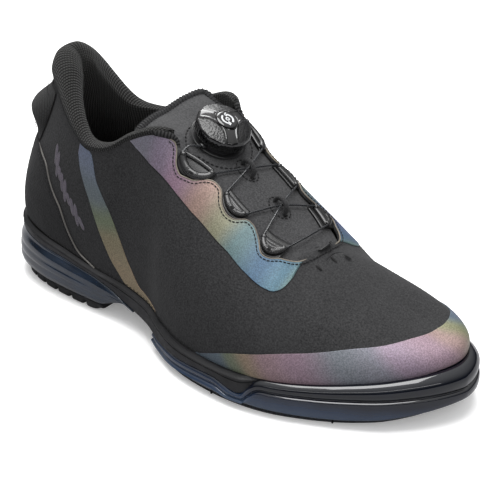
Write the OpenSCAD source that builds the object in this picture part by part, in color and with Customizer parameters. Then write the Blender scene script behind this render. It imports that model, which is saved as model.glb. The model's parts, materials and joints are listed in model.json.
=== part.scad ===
// Bowling shoe with a dial lacing system and hook-and-loop slide sole.
// The heel is at -X, the toe at +X, the outer side at -Y, and the floor is z = 0.

/* [Upper] */
// Thickness of the upper's bonded fabric shell
shell_t = 1.6; // [1.2:0.1:1.7]
// Thickness of the iridescent film pieces
film_t = 0.5; // [0.3:0.1:0.7]
// How far the heel pull tab flares out from the heel panel
tab_flare = 13; // [8:1:14]
// Height of the padded collar roll above the heel's top edge
collar_rise = 21.5; // [16:0.5:23]
// Thickness of the padded collar roll at the heel
collar_pad = 18; // [13:1:19]
// Thickness of the knitted collar lining
lining_t = 1.2; // [0.8:0.1:1.4]

/* [Sole] */
// Thickness of the slide sole pad
pad_t = 2.2; // [1.6:0.1:2.2]
// Depth of the cuts between the heel pad's teeth
tooth_d = 1.6; // [1:0.1:2.2]
// Thickness of the footbed
insole_t = 4; // [3:0.25:4]
// How far the heel cushion bulges past the midsole
cushion_out = 2.4; // [1:0.2:2.6]

/* [Tongue] */
// Thickness of the tongue's foam
tongue_foam_t = 4.5; // [3:0.5:5]
// Depth of the tongue under the eyestays
tongue_gap = 2.6; // [2.4:0.1:3]

/* [Dial] */
// Diameter of the lacing dial's knob
dial_d = 29; // [28:0.5:31]
// Height of the knob
knob_h = 9.5; // [9:0.5:11]
// Lift of the knob when it's pulled up to release the lace
dial_lift = 2.5; // [1.5:0.5:2.5]
// Forward tilt of the dial's axis, in degrees
dial_tilt = 29; // [27:1:31]
// Diameter of the spool's centre post
post_d = 5; // [4:0.5:5]
// Diameter of the steel lace
lace_d = 1.1; // [0.8:0.1:1.2]

/* [Hidden] */
$fn = 48;
U = 17;          // stations run from the heel centre, 0, to the toe tip, 17
ds = 0.25;       // station step
ep = 0.01;

// Stations of the last, outer side. Each row: feather line x y z, top edge x y z,
// lower tangent out and up, upper tangent x y z.
LAT = [
[-36.5,0,36, -15,0,118, 3,28, -7,0,-26],
[-32.5,-14,36, -10,-10,117, 3,28, -6,-4,-26],
[-21.5,-25,35, 3,-18.5,114, 4,28, -3,-6,-26],
[-3,-31,33, 20,-27.5,105.5, 4,26, -2,-5,-24],
[18,-33,30.5, 38,-33,98.5, 3,24, -1,-3,-22],
[42,-33.5,26.5, 56,-34.5,102, 3,24, 0,-2,-26],
[64,-34,24.5, 73,-33.5,113, 2,26, 0,-3,-28],
[86,-38,22.5, 90,-31,119.5, 2,28, 0,-8,-28],
[104,-46,20.5, 104.5,-20,111.5, 3,27, 0,-22,-12],
[122,-52.5,19.3, 120,-15,102.5, 3,26, 0,-26,-9],
[142,-55.5,19, 138,-14.5,90.5, 3,24, 0,-28,-8],
[163,-55.5,19, 156,-12,79, 3.5,22, 0,-29,-7],
[183,-51.5,19.5, 171,-3,71, 4,20, 2.5,-30,-3.5],
[202,-43,21, 186,4,64.5, 4,17, 6,-28,-3.2],
[219,-33.5,23.5, 198,8,59, 4,15, 11,-24,-5],
[234,-22.5,26, 208,10.5,54.5, 4,13, 16,-19,-7.2],
[246,-7,27.8, 216,12,50.5, 4,12, 19,-11,-8.6],
[252,10,28.5, 221,12.5,48, 4,12, 21,0,-9.5]];
// The same, inner side.
MED = [
[-36.5,0,36, -15,0,118, 3,28, -7,0,-26],
[-33,13,36, -10,10,117, 3,28, -6,4,-26],
[-23,24,35, 2,18.5,112.5, 4,28, -3,6,-26],
[-5,30.5,33, 18,27.5,99.5, 4,26, -2,5,-24],
[16,30.5,31, 36,32,98, 3,24, -1,3,-22],
[38,28,28.5, 54,32,103, 3,24, 0,2,-26],
[60,25.5,27, 72,31,115, 2,26, 0,3,-28],
[82,26.5,25, 89,29.5,120.5, 2,28, 0,6,-26],
[102,29,23, 104.5,20,112.5, 3,27, 0,18,-4],
[122,34,21.5, 120,15,103, 3,26, 0,22,-3],
[143,39.5,20, 138,14.5,91, 3,24, 0,25,-3],
[165,44.5,19.5, 156,13,79.5, 3.5,22, 0,26,-4],
[187,46.5,19.5, 171,8,71, 4,20, 2.5,24,-3.5],
[208,45.5,21, 186,4,64.5, 4,17, 6,25,-3.2],
[226,41.5,23.5, 198,8,59, 4,15, 11,24,-5],
[240,34.5,26, 208,10.5,54.5, 4,14, 16,20.5,-7],
[249,24,28, 216,12,50.5, 4,13, 20,12.5,-8.2],
[252,10,28.5, 221,12.5,48, 4,12, 21,0,-9.5]];

function cr(T,a,z,t) = let(n=len(T)-1, i=min(floor(t),n-1), f=t-i)
  f<=0 ? T[i] : f>=1 ? T[i+1] :
  let(p=i>0?T[i-1]:a, q=T[i], r=T[i+1], s=i+2<=n?T[i+2]:z)
  0.5*(2*q+(r-p)*f+(2*p-5*q+4*r-s)*f*f+(3*q-p-3*r+s)*f*f*f);
function row(s,u) = s<0 ? cr(LAT,MED[1],MED[U-1],u) : cr(MED,LAT[1],LAT[U-1],u);
function sm(t) = let(x=max(0,min(1,t))) x*x*(3-2*x);
function unit(v) = v/norm(v);
function rq(p) = [round(p.x*1000)/1000, round(p.y*1000)/1000, round(p.z*1000)/1000];
// outward direction in plan at the feather line
function nb(s,u) = u<=0 ? [-1,0] : u>=U ? [1,0] :
  let(a=row(s,u-ep), b=row(s,u+ep), t=unit([b[0]-a[0],b[1]-a[1]])) s<0 ? [t.y,-t.x] : [-t.y,t.x];
function tp(s,u) = let(a=row(s,u), b=row(-s,u), k=sm((u-11.6)/0.8), A=[a[3],a[4],a[5]], B=[b[3],b[4],b[5]])
  k>=1 ? (A+B)/2 : A*(1-k/2)+B*(k/2);
// control points of the profile at a station, from the feather line to the top edge
function col(s,u) = let(R=row(s,u), n=nb(s,u), P=[R[0],R[1],R[2]], T=tp(s,u))
  [P, P+[n.x*R[6],n.y*R[6],R[7]], T+[R[8],R[9],R[10]], T];
function bz(c,v) = let(w=1-v) c[0]*w*w*w+3*c[1]*v*w*w+3*c[2]*v*v*w+c[3]*v*v*v;
// points and outward normals along one profile
function st1(s,u,vs) = let(c=col(s,u), a=col(s,max(u-ep,0)), b=col(s,min(u+ep,U)))
  [for(v=vs) [bz(c,v), unit(cross(bz(b,v)-bz(a,v), bz(c,min(v+ep,1))-bz(c,max(v-ep,0)))*(-s))]];
function st(s,u,vs) = let(A=st1(s,u,vs), B=(u<=0||u>=U)?st1(-s,u,vs):A, t=tp(s,min(u+ep,U))-tp(s,max(u-ep,0)))
  [for(j=[0:len(vs)-1]) (vs[j]>=1&&u>=12.4) ? [A[j][0], unit([-t.z,0,t.x])] : (u<=0||u>=U) ? [A[j][0], unit(A[j][1]+B[j][1])] : A[j]];
function at(s,u,v,o) = let(q=st(s,u,[v])[0]) q[0]+q[1]*o;
function steps(a,b,d) = let(n=round((b-a)/d)) [for(i=[0:n]) a+(b-a)*i/n];
function ramp(a,b,n) = [for(i=[0:n]) a+(b-a)*i/n];

// closed mesh from triangles, turned so that it faces out
module mesh(P,F) {
  G=[for(f=F) if(P[f[0]]!=P[f[1]]&&P[f[1]]!=P[f[2]]&&P[f[0]]!=P[f[2]]) f];
  d=[for(f=G) P[f[0]]*cross(P[f[1]],P[f[2]])];
  v=d*[for(f=G) 1];
  polyhedron(P, v>0 ? [for(f=G) [f[2],f[1],f[0]]] : G, convexity=8);
}
function q2(a,b,c,d) = [[a,b,c],[a,c,d]];
function side(R,m,o=0) = [for(i=[0:R-2]) for(j=[0:m-1]) let(a=o+i*m+j, b=a+m, c=o+(i+1)*m+(j+1)%m, d=c-m) each (j<m/2 ? [[a,b,c],[a,c,d]] : [[a,b,d],[b,c,d]])];
// end cap: zips point k to point m-1-k
function cap(o,m,fl) = [for(k=[0:floor(m/2)-2]) for(t=q2(o+k,o+k+1,o+m-2-k,o+m-1-k)) fl?[t[2],t[1],t[0]]:t];
module loft(R,end=true) {
  m=len(R[0]); n=len(R);
  mesh([for(r=R) for(p=r) rq(p)], concat(side(n,m), cap(0,m,false), end?cap((n-1)*m,m,true):[]));
}
// ring of a sheet: along the outer face, then back along the inner face
function pring(s,u,lo,hi,n,f1,f2) = let(vs=ramp(lo,hi,n), A=st(s,u,vs))
  concat([for(j=[0:n]) A[j][0]+A[j][1]*f2(u,vs[j])], [for(j=[n:-1:0]) A[j][0]+A[j][1]*f1(u,vs[j])]);
// sheet on one side between two stations
module sheet(s,us,lo,hi,n,f1,f2) loft([for(u=us) pring(s,u,lo(u),hi(u),n,f1,f2)]);
// sheet that runs round the heel, wu < 0 on the outer side
module heel_sheet(um,lo,hi,n,f1,f2,dw=ds) loft([for(w=steps(-um,um,dw)) pring(w<=0?-1:1,abs(w),lo(abs(w)),hi(abs(w)),n,f1,f2)]);
// sheet that runs round the toe
module toe_sheet(u0,lo,hi,n,f1,f2,dw=ds) loft(concat([for(u=steps(u0,U,dw)) pring(-1,u,lo(u),hi(u),n,f1,f2)],
  [for(u=steps(U-dw,u0,-dw)) pring(1,u,lo(u),hi(u),n,f1,f2)]));
function k(x) = function(u,v=0) x;

// Upper edge of the shell, scalloped round the lace guides
function edge(u) = lookup(u,[[7.45,1],[7.6,.97],[7.75,.865],[8,.815],[8.5,.83],[8.75,.88],[9,.912],[9.3,.912],[9.5,.85],[9.75,.83],
  [10,.845],[10.25,.91],[10.5,.91],[10.75,.87],[11,.80],[11.25,.80],[11.5,.83],[11.9,.83],[12.05,.86],[12.25,.97],[12.4,1]]);
module upper_shell() color([.17,.17,.18]) {
  nv=8; m=2*(nv+1); ue=12.5; A=[for(w=steps(-ue,ue,ds)) pring(w<=0?-1:1,abs(w),0,edge(abs(w)),nv,k(-shell_t),k(0))];
  B=[for(u=steps(ue,U,ds)) let(l=pring(-1,u,0,1,nv,k(-shell_t),k(0)), r=pring(1,u,0,1,nv,k(-shell_t),k(0)))
     concat([for(j=[0:nv]) l[j]], [for(j=[nv-1:-1:0]) r[j]], [for(j=[m-1:-1:nv+1]) r[j]], [for(j=[nv+2:m-1]) l[j]])];
  a=len(A)*m; mb=len(B[0]);
  mesh([for(r=concat(A,B)) for(p=r) rq(p)], concat([for(t=side(len(A),m)) [t[2],t[1],t[0]]], side(len(B),mb,a)));
}
// Soft wrap over the heel
function heel_hi(u) = lookup(u,[[0,.6],[1.9,.6],[2.62,.57],[3.68,.36],[4.5,.06]]);
module heel_panel() color([.14,.14,.15]) heel_sheet(4.5,k(.012),function(u) heel_hi(u),4,k(.3),k(1.1));
module heel_pull_tab() color([.08,.08,.09]) heel_sheet(1.75,k(.615),k(.985),8,k(.35),
  function(u,v) .85+tab_flare*pow(max(0,1-pow(u/1.75,2)),.8)*(v<.76 ? sm((v-.61)/.15) : 1-sm((v-.74)/.26)));
module heel_counter() color([.85,.85,.82]) heel_sheet(4.25,k(.03),function(u) lookup(u,[[0,.58],[3,.45],[4.25,.2]]),5,k(-3.1),k(-shell_t-.25));
module toe_puff() color([.85,.85,.82]) toe_sheet(14,k(.04),function(u) lookup(u,[[14,.3],[17,.62]]),5,k(-2.9),k(-shell_t-.4));
module vamp_lining() color([.2,.2,.21]) for(s=[-1,1]) sheet(s,steps(7.75,16.5,.5),k(.06),function(u) lookup(u,[[7.75,.7],[12,.7],[16.5,.62]]),4,k(-4.1),k(-3.2));
// Collar roll: width, height above the shell's edge, and lining depth
function cw(u) = lookup(u,[[0,collar_pad],[1,collar_pad-1],[2,collar_pad-4],[3,10],[4,6.4],[5,5.4],[6,5.2],[7,5],[7.5,4.4]]);
function ch(u) = lookup(u,[[0,collar_rise],[1,collar_rise-2.5],[2,collar_rise-8],[3,8.5],[4,4],[5,3.4],[6,3.4],[7,3.2],[7.5,2.6]]);
function cd(u,v) = 4.6+(max(cw(u)-1,4.6)-4.6)*sm((v-.35)/.5);
function cpath(s,u,g) = let(n=nb(s,u), o=[n.x,n.y,0], W=cw(u), h=ch(u)-(s>0?lookup(u,[[1,0],[2,1.5],[3,4],[4,.6],[5,0]]):0), A=tp(s,u)+[0,0,.7], I=-o, z=[0,0,1],
  vs=[.88,.68,.4,.1], S=st(s,u,vs))
  concat([A+I*(.2+g), A+I*(g-.8)+z*h*.5, A+I*(.14*W+g*.8)+z*(h*.88-g*.7), A+I*.5*W+z*(h-g),
    A+I*(.83*W-g*.7)+z*(h*.85-g*.7), A+I*(W-g)+z*h*.4],
   [for(j=[0:3]) S[j][0]-S[j][1]*(cd(u,vs[j])-g)]);
module collar_lining() color([.22,.22,.23]) loft([for(w=steps(-7.25,7.25,ds)) let(s=w<=0?-1:1,u=abs(w),a=cpath(s,u,0),b=cpath(s,u,lining_t))
  concat(a,[for(j=[len(a)-1:-1:0]) b[j]])]);
module collar_foam() color([.75,.75,.7]) loft([for(w=steps(-6.5,6.5,.5)) let(s=w<=0?-1:1,u=abs(w),g=lining_t+.85,a=cpath(s,u,g),
  S=st(s,u,[.7,.78,.86,.94,.98]))
  concat([for(j=[6:-1:2]) a[j]],[for(j=[4:-1:0]) S[j][0]-S[j][1]*(shell_t+.6)])]);

// Eyestay film with its scalloped edge
function eye_lo(u) = lookup(u,[[6,.985],[7.6,.76],[8.83,.69],[10.25,.68],[10.95,.65],[11.4,.62],[11.75,.61],[11.9,.65],[12,.74]]);
module eyestay(s) color([.55,.6,.68]) sheet(s,steps(6,12,ds),function(u) eye_lo(u),function(u) min(edge(u),.997)-.006,5,k(.45),k(.45+film_t));
module eyestay_lateral() eyestay(-1);
module eyestay_medial() eyestay(1);
function lift(u,v=0) = .3+.4*sm((u-13.5)/2.5);
module toe_overlay() color([.6,.5,.6]) toe_sheet(9.75,k(.01),function(u) lookup(u,[[9.75,.02],[10.9,.14],[12.28,.245],[13.1,.30],[14.8,.44],[15.75,.565],[17,.72]]),4,function(u,v) lift(u),function(u,v) lift(u)+film_t);
function str_lo(u) = lookup(u,[[3.75,.9],[3.88,.815],[4.55,.585],[4.93,.425],[5.58,.14],[6,.01]]);
function str_hi(u) = lookup(u,[[3.75,.98],[4.3,.98],[4.62,.765],[5.4,.515],[6.18,.2],[6.6,.065],[7.5,.02]]);
module stripe(s) color([.45,.5,.5]) sheet(s,steps(3.75,7.5,ds),function(u) str_lo(u),function(u) str_hi(u),6,k(.3),k(.3+film_t));
module heel_stripe_lateral() stripe(-1);
module heel_stripe_medial() stripe(1);
// Lace guides sit in the scallops: station of the start and end
GU = [[7.9,8.75],[9.5,10.1],[10.85,11.45]];
module guides(s) color([.3,.3,.31]) for(g=GU) sheet(s,ramp(g[0],g[1],6),function(u) edge(u)+.02,function(u) .965,4,k(-1.2),
  function(u,v) .4+1.4*sin(180*(u-g[0])/(g[1]-g[0])));
module lace_guides_lateral() guides(-1);
module lace_guides_medial() guides(1);

// ---- Sole. e is the inset from the feather line, negative outside it.
function ins(u) = lookup(u,[[0,3.5],[3,2.8],[6,2.2],[7.5,2.6],[9,3.6],[12,3.8],[14,5],[15.5,6.2],[17,8]]);
function Q(s,u,e,z) = let(R=row(s,u), n=nb(s,u)) [R[0]-n.x*e, R[1]-n.y*e, z];
function zb(u) = min(row(-1,u)[2],row(1,u)[2]);
function zi(u) = zb(u)-5;
// lower edge of the midsole's dark band, with its wave ahead of the ball
function zlow(u) = min(lookup(u,[[0,29],[2,29],[3,27],[4,25.4],[5,22],[5.6,18.5],[6,15],[6.5,12.5],[7,11],[7.5,10.3],[8,9.8],[9,11],[10,12.6],
  [10.5,12.9],[11,9],[11.2,8.6],[11.5,11],[11.75,15],[12,19]]), zb(u)-.3);
// rocker of the walking surface along the sole
function ground(x) = lookup(x,[[95,1.5],[104,.8],[113,.2],[122,0],[204,0],[219,.8],[234,2.5],[246,5],[260,8.8]]);
function G(s,u,e,dz) = let(q=Q(s,u,e,0)) [q.x,q.y,ground(q.x)+dz];
function both(f,u) = let(a=f(-1,u), b=f(1,u)) concat(a,[for(j=[len(b)-1:-1:0]) b[j]]);
module slab(us,e,z0,z1) loft([for(u=us) [Q(-1,u,e,z0(u)),Q(-1,u,e,z1(u)),Q(1,u,e,z1(u)),Q(1,u,e,z0(u))]]);
module layer(us,e,a,b) loft([for(u=us) [G(-1,u,e,a),G(-1,u,e,b),G(1,u,e,b),G(1,u,e,a)]]);
module insole() color([.3,.3,.32]) slab(steps(0,U,.5),3.4,function(u) zi(u)+1.65,function(u) zi(u)+1.5+insole_t);
module lasting_board() color([.8,.76,.68]) slab(steps(0,U,ds),3.2,function(u) zi(u)+.1,function(u) zi(u)+1.45);
module shank() color([.5,.5,.52]) loft([for(u=steps(3.5,9,.5)) let(a=slot(-1,u,0),b=slot(1,u,0),c=(a+b)/2)
  [for(p=[[a,-1.3],[a,-.3],[b,-.3],[b,-1.3]]) c+(p[0]-c)*.9+[0,0,p[1]]]]);
// Midsole: a cup with a raised rim, a bed for the board and a slot for the shank
function band_e(u) = let(t=sm((u-11.2)/.5)) -ins(u)*(1-t)+.2*t;
function zc(u) = min(zlow(u), zi(u)-2.3);
function slot(s,u,d) = let(p=Q(s,u,3,zi(u)), c=(p+Q(-s,u,3,zi(u)))/2, r=norm(p-c)) c+(p-c)*min(.6,7.3/max(r,.01))-[0,0,d];
function mids(s,u) = let(w=u<6.6?0:u<7.4?1:2, zo=w==1?6:min(zlow(u)+.45,row(s,u)[2]-2.2), e0=w==2?.2:w==1?-ins(u)+1.2:3.6, eo=band_e(u), b=row(s,u)[2])
  [w==2?G(s,u,e0,5.1):Q(s,u,e0,w==1?6:zc(u)+.45),Q(s,u,w==0?2.4:e0,zo),Q(s,u,eo+(w==2?0:.3),zo),Q(s,u,eo,min(zo+1,b-1.8)),Q(s,u,eo,b-1.6),Q(s,u,min(eo+1.4,.3),b-.2),Q(s,u,2.9,b-.2),Q(s,u,3,zi(u)),
   slot(s,u,0),slot(s,u,u>3&&u<9.3?1.6:0)];
module midsole() color([.12,.12,.13]) loft([for(u=steps(0,U,ds)) both(function(s,u) mids(s,u),u)]);
// Heel cushion with three soft ridges, open below for the heel pad
function cush(s,u) = let(f=lookup(u,[[0,1],[4,1],[6.5,.1]]), t=zlow(u), b=min(t-.9,lookup(u,[[0,6.2],[5.25,6.2],[6.5,12.4]])), h=t-b, i=-ins(u), c=-cushion_out*f)
  [Q(s,u,i+2.5,b),Q(s,u,i+c*.4,b+h*.08),Q(s,u,i+c,b+h*.25),Q(s,u,i+c+.7*f,b+h*.34),Q(s,u,i+c,b+h*.45),Q(s,u,i+c*.8+.7*f,b+h*.56),
   Q(s,u,i+c*.7,b+h*.67),Q(s,u,i+c*.4+.7*f,b+h*.79),Q(s,u,i+.1,b+h*.9),Q(s,u,i+.8,t),Q(s,u,2.4,t),Q(s,u,3.6,zc(u))];
module heel_cushion() color([.2,.26,.34]) loft([for(u=steps(0,6.5,ds)) both(function(s,u) cush(s,u),u)]);
// Clear outsole under the forefoot that wraps up round the toe in two rolls
function tray(s,u) = let(g=ground(row(s,u)[0]-nb(s,u).x*-3), t=u<12?zlow(u):row(s,u)[2]-.1, i=-ins(u), gr=max(g+5.6,t-lookup(u,[[11,4.5],[13,6],[15,8.5],[17,11]])))
  [Q(s,u,i+1,t),Q(s,u,i,max(gr+.6,t-1)),Q(s,u,i,gr+.5),Q(s,u,i+1.3,gr),Q(s,u,i-.2,gr-.6),
   Q(s,u,i-.2,(gr+g+3.3)/2),G(s,u,i+1.2,4.1),G(s,u,i+3.2,3.4),G(s,u,4,3.4)];
function trayin(s,u) = let(t=u<12?zlow(u):row(s,u)[2]-.1, f=G(s,u,-.05,4.9))
  [for(q=[0:8]) q<=6 ? Q(s,u,-.05,t+(f.z-t)*q/6) : G(s,u,q==7?1.5:4,4.9)];
module toe_wrap_outsole() color([.12,.17,.25]) loft([for(u=steps(7.5,U,ds)) let(a=tray(-1,u),b=tray(1,u),c=trayin(-1,u),d=trayin(1,u))
  concat(a,[for(j=[8:-1:0]) b[j]],d,[for(j=[8:-1:0]) c[j]])],false);
module sole_loop_patch() color([.1,.1,.1]) layer(steps(8.5,13.5,.5),2,2.9,3.2);
module heel_loop_patch() color([.1,.1,.1]) slab(steps(0,5,.5),2,k(5.7),k(6.1));
module slide_sole() color([.16,.16,.17]) layer(steps(8,U,ds),-.6,0,pad_t);
module slide_sole_hook() color([.1,.1,.1]) layer(steps(8.5,13.5,.5),2,pad_t+.1,2.8);
// Heel pad cut into teeth across its width
CUTS = [.5,.9,1.3,1.7,2.1,2.5,4,4.3,4.6,4.9];
function tooth(u) = min([for(c=CUTS) abs(u-c)<.04?-1:0])<0 ? tooth_d : 0;
module heel_pad() color([.1,.1,.11]) {
  us=concat([0,.25],[for(c=CUTS) each [c-.06,c-.03,c+.03,c+.06]],[5.2]);
  loft([for(u=us) let(z=tooth(u)) [Q(-1,u,1.4,z),Q(-1,u,-1.2,max(z,1.2)),Q(-1,u,-1.4,5),Q(1,u,-1.4,5),Q(1,u,-1.2,max(z,1.2)),Q(1,u,1.4,z)]]);
}
module heel_pad_hook() color([.1,.1,.1]) slab(steps(0,5,.5),2,k(5.05),k(5.65));

// ---- Tongue. Stations across it, from its free top to its stitched toe end
TT = [[67,121,26,6],[76,119.8,26,6.5],[85,117.4,25.5,7],[93,114.4,24,8],[100,111.2,24.5,9]];
TY = [-1,-.85,-.65,-.4,0,.4,.65,.85,1];
function tcross(i) = i<5 ? [for(y=TY) [TT[i][0], y*TT[i][2], TT[i][1]-TT[i][3]*pow(abs(y),2.2)]] :
  let(u=8.25+(i-5)*.5, vs=[.8,.86,.92,1], A=st(-1,u,vs), B=st(1,u,vs), g=tongue_gap)
  concat([for(q=A) q[0]-q[1]*g],[(A[3][0]-A[3][1]*g+B[3][0]-B[3][1]*g)/2+[.4,0,.9]],[for(j=[3:-1:0]) B[j][0]-B[j][1]*g]);
TN = 14;
module tslab(a,b,i0,i1) loft([for(i=[i0:i1]) let(c=tcross(i)) concat([for(p=c) p-[0,0,a]],[for(j=[8:-1:0]) c[j]-[0,0,b]])]);
module tongue_cover() color([.27,.27,.28]) tslab(0,1.2,0,TN-1);
module tongue_foam() color([.75,.75,.7]) tslab(1.25,1.25+tongue_foam_t,0,TN-2);
module tongue_lining() color([.2,.2,.21]) tslab(1.3+tongue_foam_t,2.3+tongue_foam_t,0,TN-2);
module tongue_binding() color([.15,.15,.16]) { c=tcross(0);
  h=2.3+tongue_foam_t+.6;
  loft([for(p=c) [p+[-1.3,0,.6],p+[-.1,0,.6],p+[-.1,0,-h],p+[-1.3,0,-h]]]); }
// Cord loops that hold the lace crossings on the tongue
LO = [9.25,10.45];
function mid(u,o) = (at(-1,u,1,0)+at(1,u,1,0))/2+[.45*o,0,.89*o];
module lace_loops() color([.1,.1,.1]) for(u=LO) translate(mid(u,0)) rotate([0,31,0]) {
  translate([-5,0,3.4]) rotate([0,90,0]) cylinder(d=1.8,h=10);
  for(x=[-5,5]) translate([x,0,-1]) cylinder(d=1.8,h=4.4);
}
// Lace: runs between the guides, crossing under the loops
function gp(s,i,e) = at(s,GU[i][0]+(e<0?-.12:GU[i][1]-GU[i][0]+.12),.955,1);
function tube(p,q) = let(d=unit(q-p),a=unit(cross(d,[0,0,1])),b=cross(a,d)) [for(t=[0,1]) [for(i=[0:7]) (t==0?p:q)+lace_d/2*(a*cos(i*45+22.5)+b*sin(i*45+22.5))]];
module lace() color([.12,.12,.13]) {
  D=function(s) [104.4,s*15.3,113.2];
  runs=[[D(-1),gp(-1,0,-1)],[D(1),gp(1,0,-1)],
   [gp(-1,0,1),mid(LO[0],.55),gp(1,1,-1)],[gp(1,0,1),mid(LO[0],1.9),gp(-1,1,-1)],
   [gp(-1,1,1),mid(LO[1],.55),gp(1,2,-1)],[gp(1,1,1),mid(LO[1],1.9),gp(-1,2,-1)],
   [gp(-1,2,1),gp(1,2,1)]];
  for(r=runs) loft([for(i=[0:len(r)-1]) let(a=r[max(i-1,0)],b=r[min(i+1,len(r)-1)],d=unit(b-a),x=unit(cross(d,[0,0,1])),y=cross(x,d))
    [for(t=[0:7]) r[i]+lace_d/2*(x*cos(t*45+22.5)+y*sin(t*45+22.5))]]);
}
// ---- Dial, on its own axis
module on_tongue() translate([103,0,110.6]) rotate([0,dial_tilt,0]) children();
rk = dial_d/2;
module dial_base() color([.07,.07,.08]) on_tongue() difference() {
  union() { translate([0,0,.9]) cylinder(r=rk+2,h=1.3); translate([0,0,.9]) cylinder(r=rk-1.9,h=5.6); }
  translate([0,0,2.4]) difference() { cylinder(r=rk-3.4,h=10); translate([0,0,-1]) cylinder(d=post_d,h=9.2); }
  translate([0,0,2.4]) cylinder(d=1.9,h=10);
  for(s=[-1,1]) translate([0,s*(rk-2.6),4]) rotate([90,0,0]) cylinder(d=1.8,h=3,center=true);
}
module dial_post_screw() color([.6,.6,.62]) on_tongue() { translate([0,0,4]) cylinder(d=1.8,h=6.8); translate([0,0,10.75]) cylinder(d=4.4,h=1.1); }
module lace_spool() color([.35,.35,.36]) on_tongue() difference() {
  union() { translate([0,0,2.6]) cylinder(r=rk-4,h=.7); translate([0,0,2.6]) cylinder(r=6.5,h=3.4); translate([0,0,5.3]) cylinder(r=rk-4,h=.7);
    translate([0,0,2.6]) cylinder(r=3.9,h=7.9); }
  translate([0,0,1]) cylinder(d=post_d+.1,h=20);
}
kb = 3;           // bottom of the knob's skirt
module dial_knob() color([.05,.05,.06]) on_tongue() rotate_extrude() polygon([[rk-1.6,kb],[rk-.5,kb],[rk,kb+1.2],[rk,kb+knob_h*.45],[rk-1.2,kb+knob_h*.72],[rk-4,kb+knob_h*.92],
  [rk-8,kb+knob_h+.6],[5.9,kb+knob_h+.9],[5.9,kb+knob_h+.2],[3.3,kb+knob_h+.2],[3.3,kb+knob_h-.2],[rk-6,kb+knob_h-1],[rk-2,kb+knob_h*.62],[rk-2,7.2],[4.6,7.2],[4.6,6.2],[rk-1.6,6.2+.5]]);
module dial_pawl_ring() color([.6,.6,.6]) on_tongue() difference() { translate([0,0,7.3]) cylinder(r=rk-4,h=1.1); translate([0,0,5]) cylinder(r=3.95,h=9); }
module dial_grip() color([.1,.1,.1]) on_tongue() for(a=[0,120,240]) rotate(a+60) rotate_extrude(angle=44)
  polygon([[rk-.98,kb+knob_h*.72],[rk-.1,kb+knob_h*.52],[rk+.35,kb+knob_h*.55],[rk-.6,kb+knob_h*.78],[rk-3.5,kb+knob_h*.96],[rk-3.85,kb+knob_h*.93]]);
module dial_cap() color([.04,.04,.05]) on_tongue() translate([0,0,kb+knob_h+.25]) cylinder(r=5.8,h=.9);

upper_shell();
heel_panel();
heel_pull_tab();
heel_counter();
toe_puff();
vamp_lining();
collar_foam();
collar_lining();
eyestay_lateral();
eyestay_medial();
toe_overlay();
heel_stripe_lateral();
heel_stripe_medial();
lace_guides_lateral();
lace_guides_medial();
insole();
lasting_board();
shank();
midsole();
heel_cushion();
toe_wrap_outsole();
sole_loop_patch();
heel_loop_patch();
slide_sole();
slide_sole_hook();
heel_pad();
heel_pad_hook();
tongue_cover();
tongue_foam();
tongue_lining();
tongue_binding();
lace_loops();
lace();
dial_base();
dial_post_screw();
lace_spool();
dial_knob();
dial_pawl_ring();
dial_grip();
dial_cap();
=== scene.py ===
import bpy, bmesh, json, math
import numpy as np
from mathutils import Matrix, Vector
from mathutils.bvhtree import BVHTree


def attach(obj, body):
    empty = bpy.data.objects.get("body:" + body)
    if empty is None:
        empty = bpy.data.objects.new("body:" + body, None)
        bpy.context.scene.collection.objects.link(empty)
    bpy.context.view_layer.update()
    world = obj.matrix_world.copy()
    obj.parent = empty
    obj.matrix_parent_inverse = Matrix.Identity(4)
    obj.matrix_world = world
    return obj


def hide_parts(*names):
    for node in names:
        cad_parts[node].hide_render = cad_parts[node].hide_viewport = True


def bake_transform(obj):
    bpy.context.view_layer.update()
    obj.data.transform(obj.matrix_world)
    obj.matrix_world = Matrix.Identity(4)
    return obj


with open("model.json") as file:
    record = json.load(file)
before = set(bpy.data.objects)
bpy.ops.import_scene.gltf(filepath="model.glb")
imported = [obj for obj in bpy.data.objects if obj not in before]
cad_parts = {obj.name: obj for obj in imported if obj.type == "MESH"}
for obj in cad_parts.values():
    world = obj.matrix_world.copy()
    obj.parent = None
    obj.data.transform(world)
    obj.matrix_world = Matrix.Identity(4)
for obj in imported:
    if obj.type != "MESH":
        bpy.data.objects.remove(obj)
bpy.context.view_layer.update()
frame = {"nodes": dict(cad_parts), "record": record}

PI = math.pi

# ---------------------------------------------------------------- the last
# Stations of the last: feather line, top edge, lower tangent out/up, upper tangent (mm).
LAT = np.array([[-36.5,0,36, -15,0,118, 3,28, -7,0,-26],
[-32.5,-14,36, -10,-10,117, 3,28, -6,-4,-26],
[-21.5,-25,35, 3,-18.5,114, 4,28, -3,-6,-26],
[-3,-31,33, 20,-27.5,105.5, 4,26, -2,-5,-24],
[18,-33,30.5, 38,-33,98.5, 3,24, -1,-3,-22],
[42,-33.5,26.5, 56,-34.5,102, 3,24, 0,-2,-26],
[64,-34,24.5, 73,-33.5,113, 2,26, 0,-3,-28],
[86,-38,22.5, 90,-31,119.5, 2,28, 0,-8,-28],
[104,-46,20.5, 104.5,-20,111.5, 3,27, 0,-22,-12],
[122,-52.5,19.3, 120,-15,102.5, 3,26, 0,-26,-9],
[142,-55.5,19, 138,-14.5,90.5, 3,24, 0,-28,-8],
[163,-55.5,19, 156,-12,79, 3.5,22, 0,-29,-7],
[183,-51.5,19.5, 171,-3,71, 4,20, 2.5,-30,-3.5],
[202,-43,21, 186,4,64.5, 4,17, 6,-28,-3.2],
[219,-33.5,23.5, 198,8,59, 4,15, 11,-24,-5],
[234,-22.5,26, 208,10.5,54.5, 4,13, 16,-19,-7.2],
[246,-7,27.8, 216,12,50.5, 4,12, 19,-11,-8.6],
[252,10,28.5, 221,12.5,48, 4,12, 21,0,-9.5]], float)
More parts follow.
